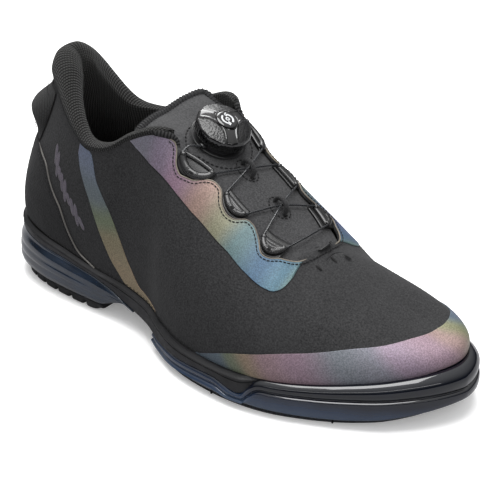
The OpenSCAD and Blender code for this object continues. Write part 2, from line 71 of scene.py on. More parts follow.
MED = np.array([[-36.5,0,36, -15,0,118, 3,28, -7,0,-26],
[-33,13,36, -10,10,117, 3,28, -6,4,-26],
[-23,24,35, 2,18.5,112.5, 4,28, -3,6,-26],
[-5,30.5,33, 18,27.5,99.5, 4,26, -2,5,-24],
[16,30.5,31, 36,32,98, 3,24, -1,3,-22],
[38,28,28.5, 54,32,103, 3,24, 0,2,-26],
[60,25.5,27, 72,31,115, 2,26, 0,3,-28],
[82,26.5,25, 89,29.5,120.5, 2,28, 0,6,-26],
[102,29,23, 104.5,20,112.5, 3,27, 0,18,-4],
[122,34,21.5, 120,15,103, 3,26, 0,22,-3],
[143,39.5,20, 138,14.5,91, 3,24, 0,25,-3],
[165,44.5,19.5, 156,13,79.5, 3.5,22, 0,26,-4],
[187,46.5,19.5, 171,8,71, 4,20, 2.5,24,-3.5],
[208,45.5,21, 186,4,64.5, 4,17, 6,25,-3.2],
[226,41.5,23.5, 198,8,59, 4,15, 11,24,-5],
[240,34.5,26, 208,10.5,54.5, 4,14, 16,20.5,-7],
[249,24,28, 216,12,50.5, 4,13, 20,12.5,-8.2],
[252,10,28.5, 221,12.5,48, 4,12, 21,0,-9.5]], float)
U = 17.0
EP = .01
EXT = {-1: np.vstack([MED[1], LAT, MED[16]]), 1: np.vstack([LAT[1], MED, LAT[16]])}


def row(s, u):
    u = np.clip(np.atleast_1d(np.asarray(u, float)), 0, U)
    E = EXT[s]
    i = np.clip(np.floor(u).astype(int), 0, 16)
    f = (u - i)[:, None]
    p, q, r, t = E[i], E[i + 1], E[i + 2], E[i + 3]
    return .5 * (2 * q + (r - p) * f + (2 * p - 5 * q + 4 * r - t) * f * f + (3 * q - p - 3 * r + t) * f ** 3)


def sm(t):
    x = np.clip(t, 0, 1)
    return x * x * (3 - 2 * x)


def unit(v):
    return v / np.maximum(np.linalg.norm(v, axis=-1, keepdims=True), 1e-9)


def nb(s, u):
    u = np.atleast_1d(np.asarray(u, float))
    t = row(s, u + EP)[:, :2] - row(s, u - EP)[:, :2]
    t = unit(t)
    n = np.stack([t[:, 1], -t[:, 0]], 1) * (1 if s < 0 else -1)
    n[u <= 0] = (-1, 0)
    n[u >= U] = (1, 0)
    return n


def tp(s, u):
    a, b = row(s, u)[:, 3:6], row(-s, u)[:, 3:6]
    k = sm((np.atleast_1d(u) - 11.6) / .8)[:, None]
    return a * (1 - k / 2) + b * (k / 2)


def col(s, u):
    u = np.clip(np.atleast_1d(np.asarray(u, float)), 0, U)
    R, n, T = row(s, u), nb(s, u), tp(s, u)
    P = R[:, :3]
    return np.stack([P, P + np.stack([n[:, 0] * R[:, 6], n[:, 1] * R[:, 6], R[:, 7]], 1), T + R[:, 8:11], T], 1)


def bez(c, v):
    w = 1 - v
    B = np.stack([w ** 3, 3 * v * w * w, 3 * v * v * w, v ** 3], -1)
    return np.einsum("nmk,nkd->nmd", B, c)


def st1(s, u, v):
    c, a, b = col(s, u), col(s, u - EP), col(s, u + EP)
    N = np.cross(bez(b, v) - bez(a, v), bez(c, np.minimum(v + EP, 1)) - bez(c, np.maximum(v - EP, 0))) * (-s)
    return bez(c, v), unit(N)


def surf(s, u, v):
    """Points and outward normals of the last at stations u (n,) and heights v (n, m)."""
    u = np.atleast_1d(np.asarray(u, float))
    v = np.broadcast_to(np.asarray(v, float), (len(u), np.shape(v)[-1])).astype(float)
    P, N = st1(s, u, v)
    e = (u <= 0) | (u >= U)
    if e.any():
        N[e] = unit(N[e] + st1(-s, u[e], v[e])[1])
    t = tp(s, u + EP) - tp(s, u - EP)
    R = unit(np.stack([-t[:, 2], 0 * t[:, 0], t[:, 0]], 1))
    m = (v >= 1) & (u >= 12.4)[:, None]
    N[m] = np.broadcast_to(R[:, None], N.shape)[m]
    return P, N


def wsurf(w, v, toe=False):
    """Round the heel (w signed, outer side negative) or, with toe, round the toe (w = 0 at the tip)."""
    w = np.asarray(w, float)
    v = np.broadcast_to(v, (len(w), np.shape(v)[-1]))
    u = U - abs(w) if toe else abs(w)
    P = np.empty(v.shape + (3,)); N = np.empty_like(P)
    for s in (-1, 1):
        m = (w <= 0) if s < 0 else (w > 0)
        if m.any():
            P[m], N[m] = surf(s, u[m], v[m])
    return P, N


def pt(s, u, v, o=0.):
    P, N = surf(s, np.atleast_1d(u), np.atleast_1d(v)[:, None] if np.ndim(v) else np.array([[v]]))
    return P[:, 0] + N[:, 0] * o, N[:, 0]


def lk(u, t):
    a = np.array(t, float)
    return np.interp(u, a[:, 0], a[:, 1])


def soft(f, u, r=.1):
    return sum(f(u + d) for d in np.linspace(-r, r, 9)) / 9


def lin(a, b, d):
    return np.linspace(a, b, max(2, int(round((b - a) / d)) + 1))


def crsm(P, k):
    """Catmull-Rom upsampling of (n, m, 3) along axis 1."""
    n, m, _ = P.shape
    E = np.concatenate([2 * P[:, :1] - P[:, 1:2], P, 2 * P[:, -1:] - P[:, -2:-1]], 1)
    out = []
    for j in range(m - 1):
        p, q, r, s = E[:, j], E[:, j + 1], E[:, j + 2], E[:, j + 3]
        for f in np.arange(k) / k:
            out.append(.5 * (2 * q + (r - p) * f + (2 * p - 5 * q + 4 * r - s) * f * f + (3 * q - p - 3 * r + s) * f ** 3))
    out.append(P[:, -1])
    return np.stack(out, 1)


# ---------------------------------------------------------------- meshes
PIECES = {}


def make(name, verts, faces, att=None, sharp=40, mat=None, body="shoe", rep=(), slot=None, fix=True, merge=1e-6, solid=0, bevel=0, sub=0):
    """A mesh piece from points in mm."""
    me = bpy.data.meshes.new(name)
    me.from_pydata((np.asarray(verts, float) / 1000).tolist(), [], [tuple(f) for f in faces])
    if att is not None:
        a = me.attributes.new("suv", "FLOAT_VECTOR", "POINT")
        a.data.foreach_set("vector", np.asarray(att, np.float32).ravel())
    bm = bmesh.new(); bm.from_mesh(me)
    if merge:
        bmesh.ops.remove_doubles(bm, verts=bm.verts, dist=merge)
    bmesh.ops.dissolve_degenerate(bm, edges=bm.edges, dist=1e-7)
    if fix:
        bmesh.ops.recalc_face_normals(bm, faces=bm.faces)
    bm.to_mesh(me); bm.free()
    for p in me.polygons:
        p.use_smooth = True
    if sharp and sharp < 180:
        me.set_sharp_from_angle(angle=math.radians(sharp))
    o = bpy.data.objects.new(name, me)
    bpy.context.scene.collection.objects.link(o)
    if solid:
        m = o.modifiers.new("thick", "SOLIDIFY"); m.thickness = abs(solid) / 1000; m.offset = -1 if solid > 0 else 1
        m.use_even_offset = False
    if bevel:
        m = o.modifiers.new("round", "BEVEL"); m.width = bevel / 1000; m.segments = 2; m.limit_method = "ANGLE"; m.angle_limit = math.radians(40)
    if sub:
        m = o.modifiers.new("sub", "SUBSURF"); m.levels = m.render_levels = sub
    if mat:
        me.materials.append(mat)
    if rep:
        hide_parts(*rep)
    if body:
        PIECES[name] = (o, body)
    return o


def quads(n, m, ring=False, flip=False, loop=False, o=0):
    F = []
    for i in range(n if loop else n - 1):
        for j in range(m if ring else m - 1):
            a, b, c, d = i * m + j, i * m + (j + 1) % m, ((i + 1) % n) * m + (j + 1) % m, ((i + 1) % n) * m + j
            F.append((o + a, o + d, o + c, o + b) if flip else (o + a, o + b, o + c, o + d))
    return F


def orient(P, N):
    """True if quads over the grid P face against N."""
    a = P[1, 0] if False else None
    i, j = P.shape[0] // 2, P.shape[1] // 2
    d1, d2 = P[min(i + 1, P.shape[0] - 1), j] - P[i - 1, j], P[i, min(j + 1, P.shape[1] - 1)] - P[i, j - 1]
    return np.dot(np.cross(d2, d1), N[i, j]) < 0


def grid(name, P, N, A, off=0., thick=.5, **kw):
    """An open sheet over the last, made solid inward."""
    Q = P + N * off
    n, m, _ = Q.shape
    return make(name, Q.reshape(-1, 3), quads(n, m, flip=orient(Q, N)), A.reshape(-1, 3), fix=False, solid=thick, **kw)


def loft(name, R, A=None, caps=True, loop=False, **kw):
    """A closed solid from rings."""
    R = np.asarray(R, float); n, m, _ = R.shape
    F = quads(n, m, ring=True, loop=loop)
    if caps and not loop:
        F += [tuple(range(m))[::-1], tuple((n - 1) * m + k for k in range(m))]
    return make(name, R.reshape(-1, 3), F, None if A is None else np.asarray(A).reshape(-1, 3), **kw)


def frames_along(P):
    T = np.gradient(P, axis=0); T = unit(T)
    return T


def sweep(name, P, r, N=None, k=10, squash=1., closed=False, parts=None, **kw):
    """Round cord along points P (mm), radius r (number or list)."""
    P = np.asarray(P, float); n = len(P)
    r = np.broadcast_to(np.asarray(r, float), (n,))
    T = unit(np.roll(P, -1, 0) - np.roll(P, 1, 0)) if closed else frames_along(P)
    ref = np.asarray(N, float) if N is not None else np.tile([0, 0, 1.], (n, 1))
    X = unit(np.cross(T, ref)); Y = np.cross(X, T)
    a = np.arange(k) / k * 2 * PI
    R = P[:, None] + r[:, None, None] * (np.cos(a)[None, :, None] * X[:, None] + squash * np.sin(a)[None, :, None] * Y[:, None])
    L = np.concatenate([[0], np.cumsum(np.linalg.norm(np.diff(P, axis=0), axis=1))])
    A = np.stack(np.broadcast_arrays(L[:, None], (a / (2 * PI))[None, :], np.zeros((n, k))), -1)
    if parts is not None:
        o = len(parts["v"]); parts["v"].extend(R.reshape(-1, 3).tolist()); parts["a"].extend(A.reshape(-1, 3).tolist())
        parts["f"].extend(quads(n, k, ring=True, o=o, loop=closed))
        if not closed:
            parts["f"] += [tuple(o + j for j in range(k))[::-1], tuple(o + (n - 1) * k + j for j in range(k))]
        return None
    return loft(name, R, A, caps=not closed, loop=closed, **kw)


def bag():
    return {"v": [], "f": [], "a": []}


def close_bag(name, b, **kw):
    return make(name, b["v"], b["f"], b["a"], merge=0, **kw)


def resample(P, N, step):
    P = np.asarray(P, float); L = np.concatenate([[0], np.cumsum(np.linalg.norm(np.diff(P, axis=0), axis=1))])
    n = max(2, int(L[-1] / step)); t = np.linspace(0, L[-1], n + 1)
    f = lambda A: np.stack([np.interp(t, L, A[:, i]) for i in range(3)], 1)
    return f(P), unit(f(np.asarray(N, float)))


def stitches(b, P, N, pitch=2.4, ln=1.6, r=.28, up=.12, cross=None):
    """Thread stitches along a line, each sunk at its ends."""
    Q, M = resample(P, N, pitch / 4)
    for i in range(1, len(Q) - 3, 4):
        c, n = Q[i + 1], M[i + 1]
        d = unit((Q[i + 2] - Q[i])[None])[0]
        if cross is not None:
            d = unit((cross * np.cross(d, n) + (1 - abs(cross)) * d)[None])[0]
        t = np.array([-.5, -.42, -.2, .2, .42, .5])
        pts = c + d * (t * ln)[:, None] + n * (up * np.array([-1.6, .2, 1, 1, .2, -1.6]))[:, None]
        sweep("", pts, r * np.array([.5, .9, 1, 1, .9, .5]), N=np.tile(n, (6, 1)), k=6, parts=b)


def puff(o, pin, pressure, cap, frames=14, bend=.6):
    """Cloth with pressure, its result written into the mesh, each point's move capped (mm)."""
    mods = [(m, m.show_viewport) for m in o.modifiers]
    for m, _ in mods:
        m.show_viewport = False
    vg = o.vertex_groups.new(name="pin")
    for i in np.nonzero(pin > 0)[0]:
        vg.add([int(i)], float(min(pin[i], 1)), "REPLACE")
    m = o.modifiers.new("Cloth", "CLOTH"); s = m.settings
    s.quality = 6; s.mass = .3; s.tension_stiffness = s.compression_stiffness = 20; s.bending_stiffness = bend
    s.use_pressure = True; s.uniform_pressure_force = pressure; s.vertex_group_mass = "pin"
    s.effector_weights.gravity = 0; m.collision_settings.use_collision = False
    m.point_cache.frame_start = 1; m.point_cache.frame_end = frames
    sc = bpy.context.scene
    for f in range(1, frames + 1):
        sc.frame_set(f)
    e = o.evaluated_get(bpy.context.evaluated_depsgraph_get())
    n = len(o.data.vertices)
    new = np.empty(n * 3); rest = np.empty(n * 3)
    e.data.vertices.foreach_get("co", new); o.data.vertices.foreach_get("co", rest)
    d = (new - rest).reshape(-1, 3); d[~np.isfinite(d)] = 0
    L = np.linalg.norm(d, axis=1, keepdims=True)
    print("puff", o.name, "largest move", round(float(L.max()) * 1000, 2), "mm")
    d *= np.minimum(1, cap / 1000 / np.maximum(L, 1e-9))
    o.modifiers.remove(m); sc.frame_set(1)
    o.data.vertices.foreach_set("co", (rest.reshape(-1, 3) + d).ravel()); o.data.update()
    for m, v in mods:
        m.show_viewport = v


# ---------------------------------------------------------------- materials
def srgb(r, g, b):
    f = lambda c: (c / 255 / 12.92) if c <= 10 else ((c / 255 + .055) / 1.055) ** 2.4
    return (f(r), f(g), f(b), 1)


class Mat:
    def __init__(self, name):
        self.m = bpy.data.materials.new(name); self.m.use_nodes = True
        self.t = self.m.node_tree; self.t.nodes.clear()
        self.out = self.n("OutputMaterial"); self.b = self.n("BsdfPrincipled")
        self.l(self.b.outputs[0], self.out.inputs[0])
        self.co = self.n("TexCoord").outputs["Object"]
        a = self.n("Attribute"); a.attribute_name = "suv"; self.at = a.outputs["Vector"]

    def n(self, kind, **kw):
        x = self.t.nodes.new("ShaderNode" + kind)
        for k, v in kw.items():
            setattr(x, k, v)
        return x

    def l(self, a, b):
        self.t.links.new(a, b)

    def put(self, sock, v):
        if hasattr(v, "links") or isinstance(v, bpy.types.NodeSocket):
            self.l(v, sock)
        else:
            sock.default_value = v

    def math(self, op, a, b=0., c=None):
        x = self.n("Math", operation=op); self.put(x.inputs[0], a); self.put(x.inputs[1], b)
        if c is not None:
            self.put(x.inputs[2], c)
        return x.outputs[0]

    def noise(self, scale, detail=3, rough=.6, vec=None, dim=None):
        x = self.n("TexNoise"); x.inputs["Scale"].default_value = scale; x.inputs["Detail"].default_value = detail
        x.inputs["Roughness"].default_value = rough
        self.l(vec if vec is not None else self.co, x.inputs["Vector"])
        return x.outputs[0]

    def voro(self, scale, vec=None, feature="F1"):
        x = self.n("TexVoronoi", feature=feature); x.inputs["Scale"].default_value = scale
        self.l(vec if vec is not None else self.co, x.inputs["Vector"])
        return x.outputs["Distance"]

    def sep(self, v):
        x = self.n("SeparateXYZ"); self.l(v, x.inputs[0]); return x.outputs

    def ramp(self, f, stops, mode="LINEAR"):
        x = self.n("ValToRGB"); x.color_ramp.interpolation = mode
        e = x.color_ramp.elements
        while len(e) < len(stops):
            e.new(.5)
        for i, (p, c) in enumerate(stops):
            e[i].position = p; e[i].color = c if len(c) == 4 else (*c, 1)
        self.put(x.inputs[0], f)
        return x.outputs[0]

    def range(self, f, a, b, c=0., d=1.):
        x = self.n("MapRange"); self.put(x.inputs[0], f)
        for i, v in enumerate((a, b, c, d)):
            x.inputs[1 + i].default_value = v
        return x.outputs[0]

    def mix(self, f, a, b, mode="MIX"):
        x = self.n("Mix", data_type="RGBA", blend_type=mode)
        self.put(x.inputs[0], f); self.put(x.inputs[6], a); self.put(x.inputs[7], b)
        return x.outputs[2]

    def bump(self, h, strength=.5, dist=.0003, after=None):
        x = self.n("Bump"); x.inputs["Strength"].default_value = strength; x.inputs["Distance"].default_value = dist
        self.put(x.inputs["Height"], h)
        if after is not None:
            self.l(after, x.inputs["Normal"])
        self.last = x.outputs[0]
        return self.last

    def set(self, **kw):
        for k, v in kw.items():
            self.put(self.b.inputs[k.replace("_", " ")], v)
        return self.m


def fine(name, dark, light, grain=1100, rough=.8, bump=.4, sheen=.06, big=18, dist=.0003):
    """Microfibre: a fine nap with slight colour drift."""
    m = Mat(name)
    g = m.noise(grain, 2, .7); c = m.mix(m.range(g, .3, .7), dark, light)
    drift = m.noise(big, 3, .5)
    c = m.mix(m.math("MULTIPLY", m.range(drift, .35, .7), .25), c, light)
    h = m.math("ADD", m.voro(grain * .8), m.math("MULTIPLY", g, .6))
    m.bump(h, bump, dist)
    m.set(Base_Color=c, Roughness=m.range(m.noise(60, 2), .3, .7, rough - .08, rough + .08), Normal=m.last, Sheen_Weight=sheen, Sheen_Roughness=.45)
    m.b.inputs["Specular IOR Level"].default_value = .16
    return m.m


def film(name, stops, along=0, lo=0., hi=1., tilt=0., rough=.46, metal=.3, k=.62):
    """Iridescent film: the hue drifts along the piece and with the view, with a fine satin grain."""
    m = Mat(name)
    xyz = m.sep(m.at)
    f = m.math("ADD", m.range(xyz[along], lo, hi), m.math("MULTIPLY", m.math("SUBTRACT", xyz[1], .5), tilt))
    f = m.math("ADD", f, m.math("MULTIPLY", m.math("SUBTRACT", m.noise(22, 2), .5), .05))
    c = m.ramp(f, [(q, tuple(x * k for x in cc[:3]) + (1,)) for q, cc in stops], "EASE")
    lw = m.n("LayerWeight"); lw.inputs[0].default_value = .35
    hue = m.n("HueSaturation"); m.put(hue.inputs["Hue"], m.range(lw.outputs["Facing"], 0, 1, .485, .56)); m.l(c, hue.inputs["Color"])
    g = m.noise(1500, 1, .6); m.put(hue.inputs["Value"], m.range(g, .36, .64, .8, 1.22))
    c = m.mix(m.range(g, .35, .75, 0, .5), hue.outputs[0], (.62, .62, .66, 1), "SOFT_LIGHT")
    m.bump(m.math("ADD", m.voro(1500), g), .16, .0002)
    m.set(Base_Color=c, Metallic=metal, Roughness=m.range(m.noise(90, 2), .3, .7, rough - .05, rough + .07), Normal=m.last, Sheen_Weight=.04)
    m.b.inputs["Coat Weight"].default_value = .05; m.b.inputs["Coat Roughness"].default_value = .35
    return m.m


def knit(name, dark, light, pu=1.9, pv=1.15, rib=.7, sheen=.08):
    """Ribbed mesh knit, ribs across the roll and running down inside."""
    m = Mat(name); s = m.sep(m.at)
    x = m.math("MULTIPLY", s[0], PI / pu); y = m.math("MULTIPLY", s[1], PI / pv)
    wob = m.math("MULTIPLY", m.noise(240, 2), .5)
    rx = m.math("ABSOLUTE", m.math("SINE", m.math("ADD", x, wob)))
    odd = m.math("MULTIPLY", m.math("FLOOR", m.math("DIVIDE", m.math("ADD", x, wob), PI)), PI / 2)
    ry = m.math("ABSOLUTE", m.math("SINE", m.math("ADD", y, odd)))
    h = m.math("ADD", m.math("MULTIPLY", rx, rib), m.math("MULTIPLY", m.math("MULTIPLY", ry, rx), .8))
    # painted shade: the colour follows the rib height, near black down in the grooves and lighter on the crests
    c = m.mix(m.range(h, .35, 1.5), dark, light)
    c = m.mix(m.range(m.noise(1400, 1), .4, .75, 0, .4), c, dark)
    m.bump(h, .75, .0005)
    m.bump(m.noise(2600, 1), .25, .0002, m.last)
    m.set(Base_Color=c, Roughness=.9, Normal=m.last, Sheen_Weight=sheen, Sheen_Roughness=.5)
    m.b.inputs["Specular IOR Level"].default_value = .12
    return m.m


def weave(name, dark, light, p=.8, rough=.85, strength=.6):
    m = Mat(name); s = m.sep(m.co)
    k = PI / (p / 1000)
    a = m.math("SINE", m.math("MULTIPLY", m.math("ADD", s[0], m.math("MULTIPLY", s[2], .7)), k))
    b = m.math("SINE", m.math("MULTIPLY", m.math("SUBTRACT", s[1], m.math("MULTIPLY", s[2], .7)), k))
    h = m.math("MULTIPLY", a, b)
    # painted shade: the colour follows the weave's relief, darker in the dips between the crossing yarns
    c = m.mix(m.range(h, -1, 1), dark, light)
    m.bump(m.math("ADD", h, m.noise(2000, 1)), strength, .0003)
    m.set(Base_Color=c, Roughness=rough, Normal=m.last, Sheen_Weight=.05)
    return m.m


def moulded(name, a, b, rough=.35, coat=0., bump=.1, grain=700, spec=.5, wear=None, trans=0., sss=0.):
    """Moulded plastic or rubber: faint flow lines, fine texture and handling marks."""
    m = Mat(name)
    c = m.mix(m.range(m.noise(35, 4), .3, .7), a, b)
    if wear:
        sc = m.n("Mapping"); sc.inputs["Scale"].default_value = (30, 400, 90); m.l(m.co, sc.inputs[0])
        c = m.mix(m.range(m.noise(1, 4, .7, vec=sc.outputs[0]), .62, .8, 0, .5), c, wear)
    h = m.math("ADD", m.noise(grain, 2), m.math("MULTIPLY", m.noise(45, 2), .8))
    m.bump(h, bump, .0003)
    m.set(Base_Color=c, Roughness=m.range(m.noise(120, 3), .3, .7, rough * .8, rough * 1.25), Normal=m.last)
    m.b.inputs["Specular IOR Level"].default_value = spec
    m.b.inputs["Coat Weight"].default_value = coat; m.b.inputs["Coat Roughness"].default_value = .06
    m.b.inputs["Transmission Weight"].default_value = trans
    if sss:
        m.b.inputs["Subsurface Weight"].default_value = sss; m.b.inputs["Subsurface Radius"].default_value = (.004, .006, .01)
    return m.m

BLACK = srgb(24, 24, 26)
M_SHELL = fine("microfibre_shell", srgb(26, 26, 27), srgb(56, 56, 57), rough=.78)
M_HEEL = fine("microfibre_heel", srgb(22, 22, 23), srgb(44, 44, 45), rough=.82, bump=.4)
M_TONGUE = fine("tongue_face", srgb(42, 42, 43), srgb(72, 72, 73), grain=1100, rough=.85, bump=.25, sheen=.06)
M_KNIT = knit("rib_knit", srgb(9, 9, 9), srgb(62, 62, 61), pu=1.7, pv=1.5)
M_BIND = knit("rib_binding", srgb(18, 18, 19), srgb(62, 62, 62), pu=1.6, pv=1.2)
M_MESH = weave("lining_mesh", srgb(20, 20, 22), srgb(56, 56, 60), p=1.3)
M_TAB = weave("tab_webbing", srgb(14, 14, 15), srgb(40, 40, 42), p=.9)
M_INSOLE = fine("footbed_cloth", srgb(30, 30, 33), srgb(58, 58, 62), grain=1000, rough=.92, bump=.5)
M_PIPE = moulded("piping", srgb(70, 68, 66), srgb(104, 101, 97), rough=.4, bump=.3, grain=900)
M_RIM = moulded("film_edge", srgb(84, 78, 70), srgb(128, 120, 108), rough=.5, bump=.3, grain=900)
M_THREAD = weave("thread", srgb(8, 8, 9), srgb(30, 30, 32), p=.35)
M_PULL = weave("pull_webbing", srgb(3, 3, 3), srgb(16, 16, 17), p=.7)
M_CORD = weave("cord", srgb(10, 10, 11), srgb(44, 44, 46), p=.5)
M_MID = moulded("midsole_rubber", srgb(20, 20, 21), srgb(38, 38, 40), rough=.5, bump=.35, grain=1300, spec=.45, wear=srgb(74, 74, 78))
M_CUSH = moulded("cushion_tpu", srgb(10, 15, 23), srgb(34, 47, 64), rough=.14, coat=.8, bump=.1, grain=90, spec=.6, trans=.1, sss=.1)
M_RUB = moulded("heel_rubber", srgb(22, 22, 23), srgb(44, 44, 46), rough=.7, bump=.6, grain=1600, wear=srgb(84, 84, 86))
M_SLIDE = fine("slide_nap", srgb(28, 29, 31), srgb(66, 68, 72), grain=1100, rough=.9, bump=.8)
M_HOOK = weave("hook_and_loop", srgb(8, 8, 8), srgb(34, 34, 34), p=.7, strength=1)
M_BOARD = weave("fibre_board", srgb(150, 140, 118), srgb(190, 180, 160), p=1.2, strength=.3)
M_STEEL = moulded("steel", srgb(150, 150, 152), srgb(190, 190, 192), rough=.3, bump=.08)
M_STEEL.node_tree.nodes["Principled BSDF"].inputs["Metallic"].default_value = 1
M_GUIDE = moulded("guide_plastic", srgb(14, 14, 15), srgb(30, 30, 31), rough=.28, coat=.3, bump=.15, grain=1400, wear=srgb(96, 96, 98))
M_GLOSS = moulded("dial_gloss", srgb(7, 7, 8), srgb(14, 14, 16), rough=.1, coat=.8, bump=.03, grain=500, spec=.6)
M_CUP = moulded("dial_cup", srgb(16, 16, 17), srgb(30, 30, 31), rough=.35, bump=.2, grain=1500)
M_SPOOL = moulded("spool_plastic", srgb(90, 90, 92), srgb(110, 110, 112), rough=.4)
M_MARK = moulded("dial_mark", srgb(196, 198, 200), srgb(222, 223, 224), rough=.4, bump=.1)
M_SLIT = moulded("slit_shadow", srgb(4, 4, 5), srgb(14, 14, 15), rough=.9)
M_MOTIF = film("motif_film", [(0, srgb(112, 106, 104)), (.5, srgb(96, 94, 100)), (1, srgb(108, 102, 112))], rough=.5, metal=.2)


def tpu():
    """Clear navy outsole: near black above, and painted light low down: a slate blue that paints the floor's reflection
    and the light coming through.
    """
    m = Mat("outsole_tpu"); z = m.sep(m.co)[2]
    # painted light: the ramp over height paints the low part slate blue for the floor's reflection and the light
    # through the plastic; higher up is the outsole's own near black
    f = m.math("ADD", m.range(z, .003, .017), m.math("MULTIPLY", m.math("SUBTRACT", m.noise(60, 3), .5), .25))
    c = m.ramp(f, [(0, srgb(58, 74, 96)), (.4, srgb(36, 52, 76)), (.75, srgb(9, 16, 32)), (1, srgb(4, 8, 18))])
    m.bump(m.noise(70, 2), .06, .0006)
    m.set(Base_Color=c, Roughness=m.range(m.noise(150, 3), .3, .75, .06, .16), Normal=m.last)
    m.b.inputs["Coat Weight"].default_value = 1; m.b.inputs["Coat Roughness"].default_value = .04
    m.b.inputs["Transmission Weight"].default_value = .05; m.b.inputs["Specular IOR Level"].default_value = .4
    return m.m


M_TPU = tpu()
EYE = [(0, srgb(132, 130, 142)), (.1, srgb(142, 128, 146)), (.26, srgb(152, 124, 140)), (.42, srgb(158, 134, 120)), (.56, srgb(134, 134, 108)),
       (.68, srgb(92, 116, 120)), (.82, srgb(76, 102, 132)), (.92, srgb(84, 116, 136)), (1, srgb(118, 140, 124))]
STR = [(0, srgb(116, 128, 148)), (.35, srgb(108, 120, 124)), (.55, srgb(120, 130, 102)), (.72, srgb(148, 136, 108)), (1, srgb(168, 146, 120))]
TOE = [(0, srgb(96, 112, 122)), (.03, srgb(118, 126, 104)), (.065, srgb(156, 138, 116)), (.11, srgb(160, 134, 138)), (.16, srgb(156, 132, 144)),
       (.245, srgb(128, 132, 140)), (.3, srgb(134, 134, 144)), (.345, srgb(154, 136, 152)), (.44, srgb(174, 148, 160)), (.5, srgb(184, 156, 150)), (.56, srgb(150, 150, 116)), (.61, srgb(108, 130, 144)),
       (.68, srgb(132, 142, 150)), (.8, srgb(148, 126, 140)), (.92, srgb(122, 128, 108)), (1, srgb(92, 106, 126))]
M_EYE = film("eyestay_film", EYE, lo=6.3, hi=12, tilt=-.12)
M_STR = film("stripe_film", STR, along=1, lo=.95, hi=0.05, rough=.5)
M_TOE = film("toe_film", TOE, lo=-7.25, hi=7.25, tilt=.12)

# paint the CAD nodes that stay
SLOTM = {"microfibre": M_SHELL, "microfibre_dark": M_HEEL, "tab_fabric": M_TAB, "board": M_BOARD, "lining_mesh": M_MESH, "foam": M_MESH, "rib_knit": M_KNIT,
         "film": M_EYE, "guide_plastic": M_GUIDE, "insole_fabric": M_INSOLE, "steel": M_STEEL, "midsole_rubber": M_MID, "cushion_tpu": M_CUSH, "outsole_tpu": M_TPU,
         "hook_fabric": M_HOOK, "slide_microfibre": M_SLIDE, "heel_rubber": M_RUB, "tongue_microfibre": M_TONGUE, "cord": M_CORD, "steel_lace": M_GUIDE,
         "dial_plastic": M_CUP, "spool_plastic": M_SPOOL, "dial_gloss": M_GLOSS, "grip_rubber": M_CUP}
for sp in frame["record"]["subparts"]:
    o = frame["nodes"][sp["node"]]
    if not o.material_slots:
        o.data.materials.append(None)
    for ms in o.material_slots:
        ms.material = SLOTM[sp["material_slot"]]
for nm in ("heel_pad", "dial_base", "slide_sole_hook", "heel_pad_hook"):
    b = frame["nodes"][nm].modifiers.new("round", "BEVEL"); b.width = .00035; b.segments = 2; b.limit_method = "ANGLE"; b.angle_limit = .6

# ---------------------------------------------------------------- upper
EDGE = [[7.45, 1], [7.6, .97], [7.75, .865], [8, .815], [8.5, .83], [8.75, .88], [9, .912], [9.3, .912], [9.5, .85], [9.75, .83],
        [10, .845], [10.25, .91], [10.5, .91], [10.75, .87], [11, .80], [11.25, .80], [11.5, .83], [11.9, .83], [12.05, .86], [12.25, .97], [12.4, 1]]


def edge(u):
    u = np.asarray(u, float)
    e = soft(lambda x: lk(x, EDGE), u, .07)
    return np.where(u >= 12.4, 1., np.where(u <= 7.4, 1., e))


TS = np.concatenate([[0, .01, .03], np.linspace(.06, .94, 26), [.97, .99, 1]])


def shell():
    du = 1 / 16
    w = lin(-12.5, 12.5, du)
    v = TS[None] * edge(abs(w))[:, None]
    P, N = wsurf(w, v)
    A = np.stack([np.broadcast_to(w[:, None], v.shape), v, 0 * v], -1)
    n, m = v.shape
    V = P.reshape(-1, 3).tolist(); F = quads(n, m, flip=orient(P, N)); AA = A.reshape(-1, 3).tolist()
    u = lin(12.5, U, du)
    PL, NL = surf(-1, u, TS); PR, NR = surf(1, u, TS)
    P2 = np.concatenate([PL, PR[:, ::-1][:, 1:]], 1); N2 = np.concatenate([NL, NR[:, ::-1][:, 1:]], 1)
    q = np.concatenate([TS - 1, 1 - TS[::-1][1:]])
    # ease the small crease where the two sides meet on the ridge
    for _ in range(6):
        c = len(TS) - 1
        s = P2[:, c - 4:c + 5].copy()
        P2[:, c - 3:c + 4] = .5 * P2[:, c - 3:c + 4] + .25 * (s[:, :-2] + s[:, 2:])
    A2 = np.stack([np.broadcast_to(u[:, None], P2.shape[:2]), np.broadcast_to(q[None], P2.shape[:2]), 0 * P2[..., 0]], -1)
    F += quads(P2.shape[0], P2.shape[1], flip=orient(P2, N2), o=len(V))
    V += P2.reshape(-1, 3).tolist(); AA += A2.reshape(-1, 3).tolist()
    return make("shell", V, F, AA, mat=M_SHELL, sharp=180, fix=False, merge=2e-5, solid=1.6, rep=["upper_shell"], slot="microfibre")


SHELL = shell()


def relax(o, c, r, n=30):
    """Evens out a small area of a mesh, round the point c, within r millimetres."""
    k = len(o.data.vertices); co = np.empty(k * 3); o.data.vertices.foreach_get("co", co); co = co.reshape(-1, 3) * 1000
    e = np.empty(len(o.data.edges) * 2, int); o.data.edges.foreach_get("vertices", e); e = e.reshape(-1, 2)
    wr = np.clip(1 - (np.linalg.norm(co - c, axis=1) / r) ** 2, 0, 1)[:, None]
    e = e[(wr[e[:, 0], 0] > 0) | (wr[e[:, 1], 0] > 0)]
    deg = np.maximum(np.bincount(e.ravel(), minlength=k), 1)[:, None]
    for _ in range(n):
        acc = np.zeros_like(co); np.add.at(acc, e[:, 0], co[e[:, 1]]); np.add.at(acc, e[:, 1], co[e[:, 0]])
        co += .6 * wr * (acc / deg - co)
    o.data.vertices.foreach_set("co", (co / 1000).ravel()); o.data.update()


TIP = pt(-1, 16.98, .42)[0][0]
relax(SHELL, TIP, 20, 24)


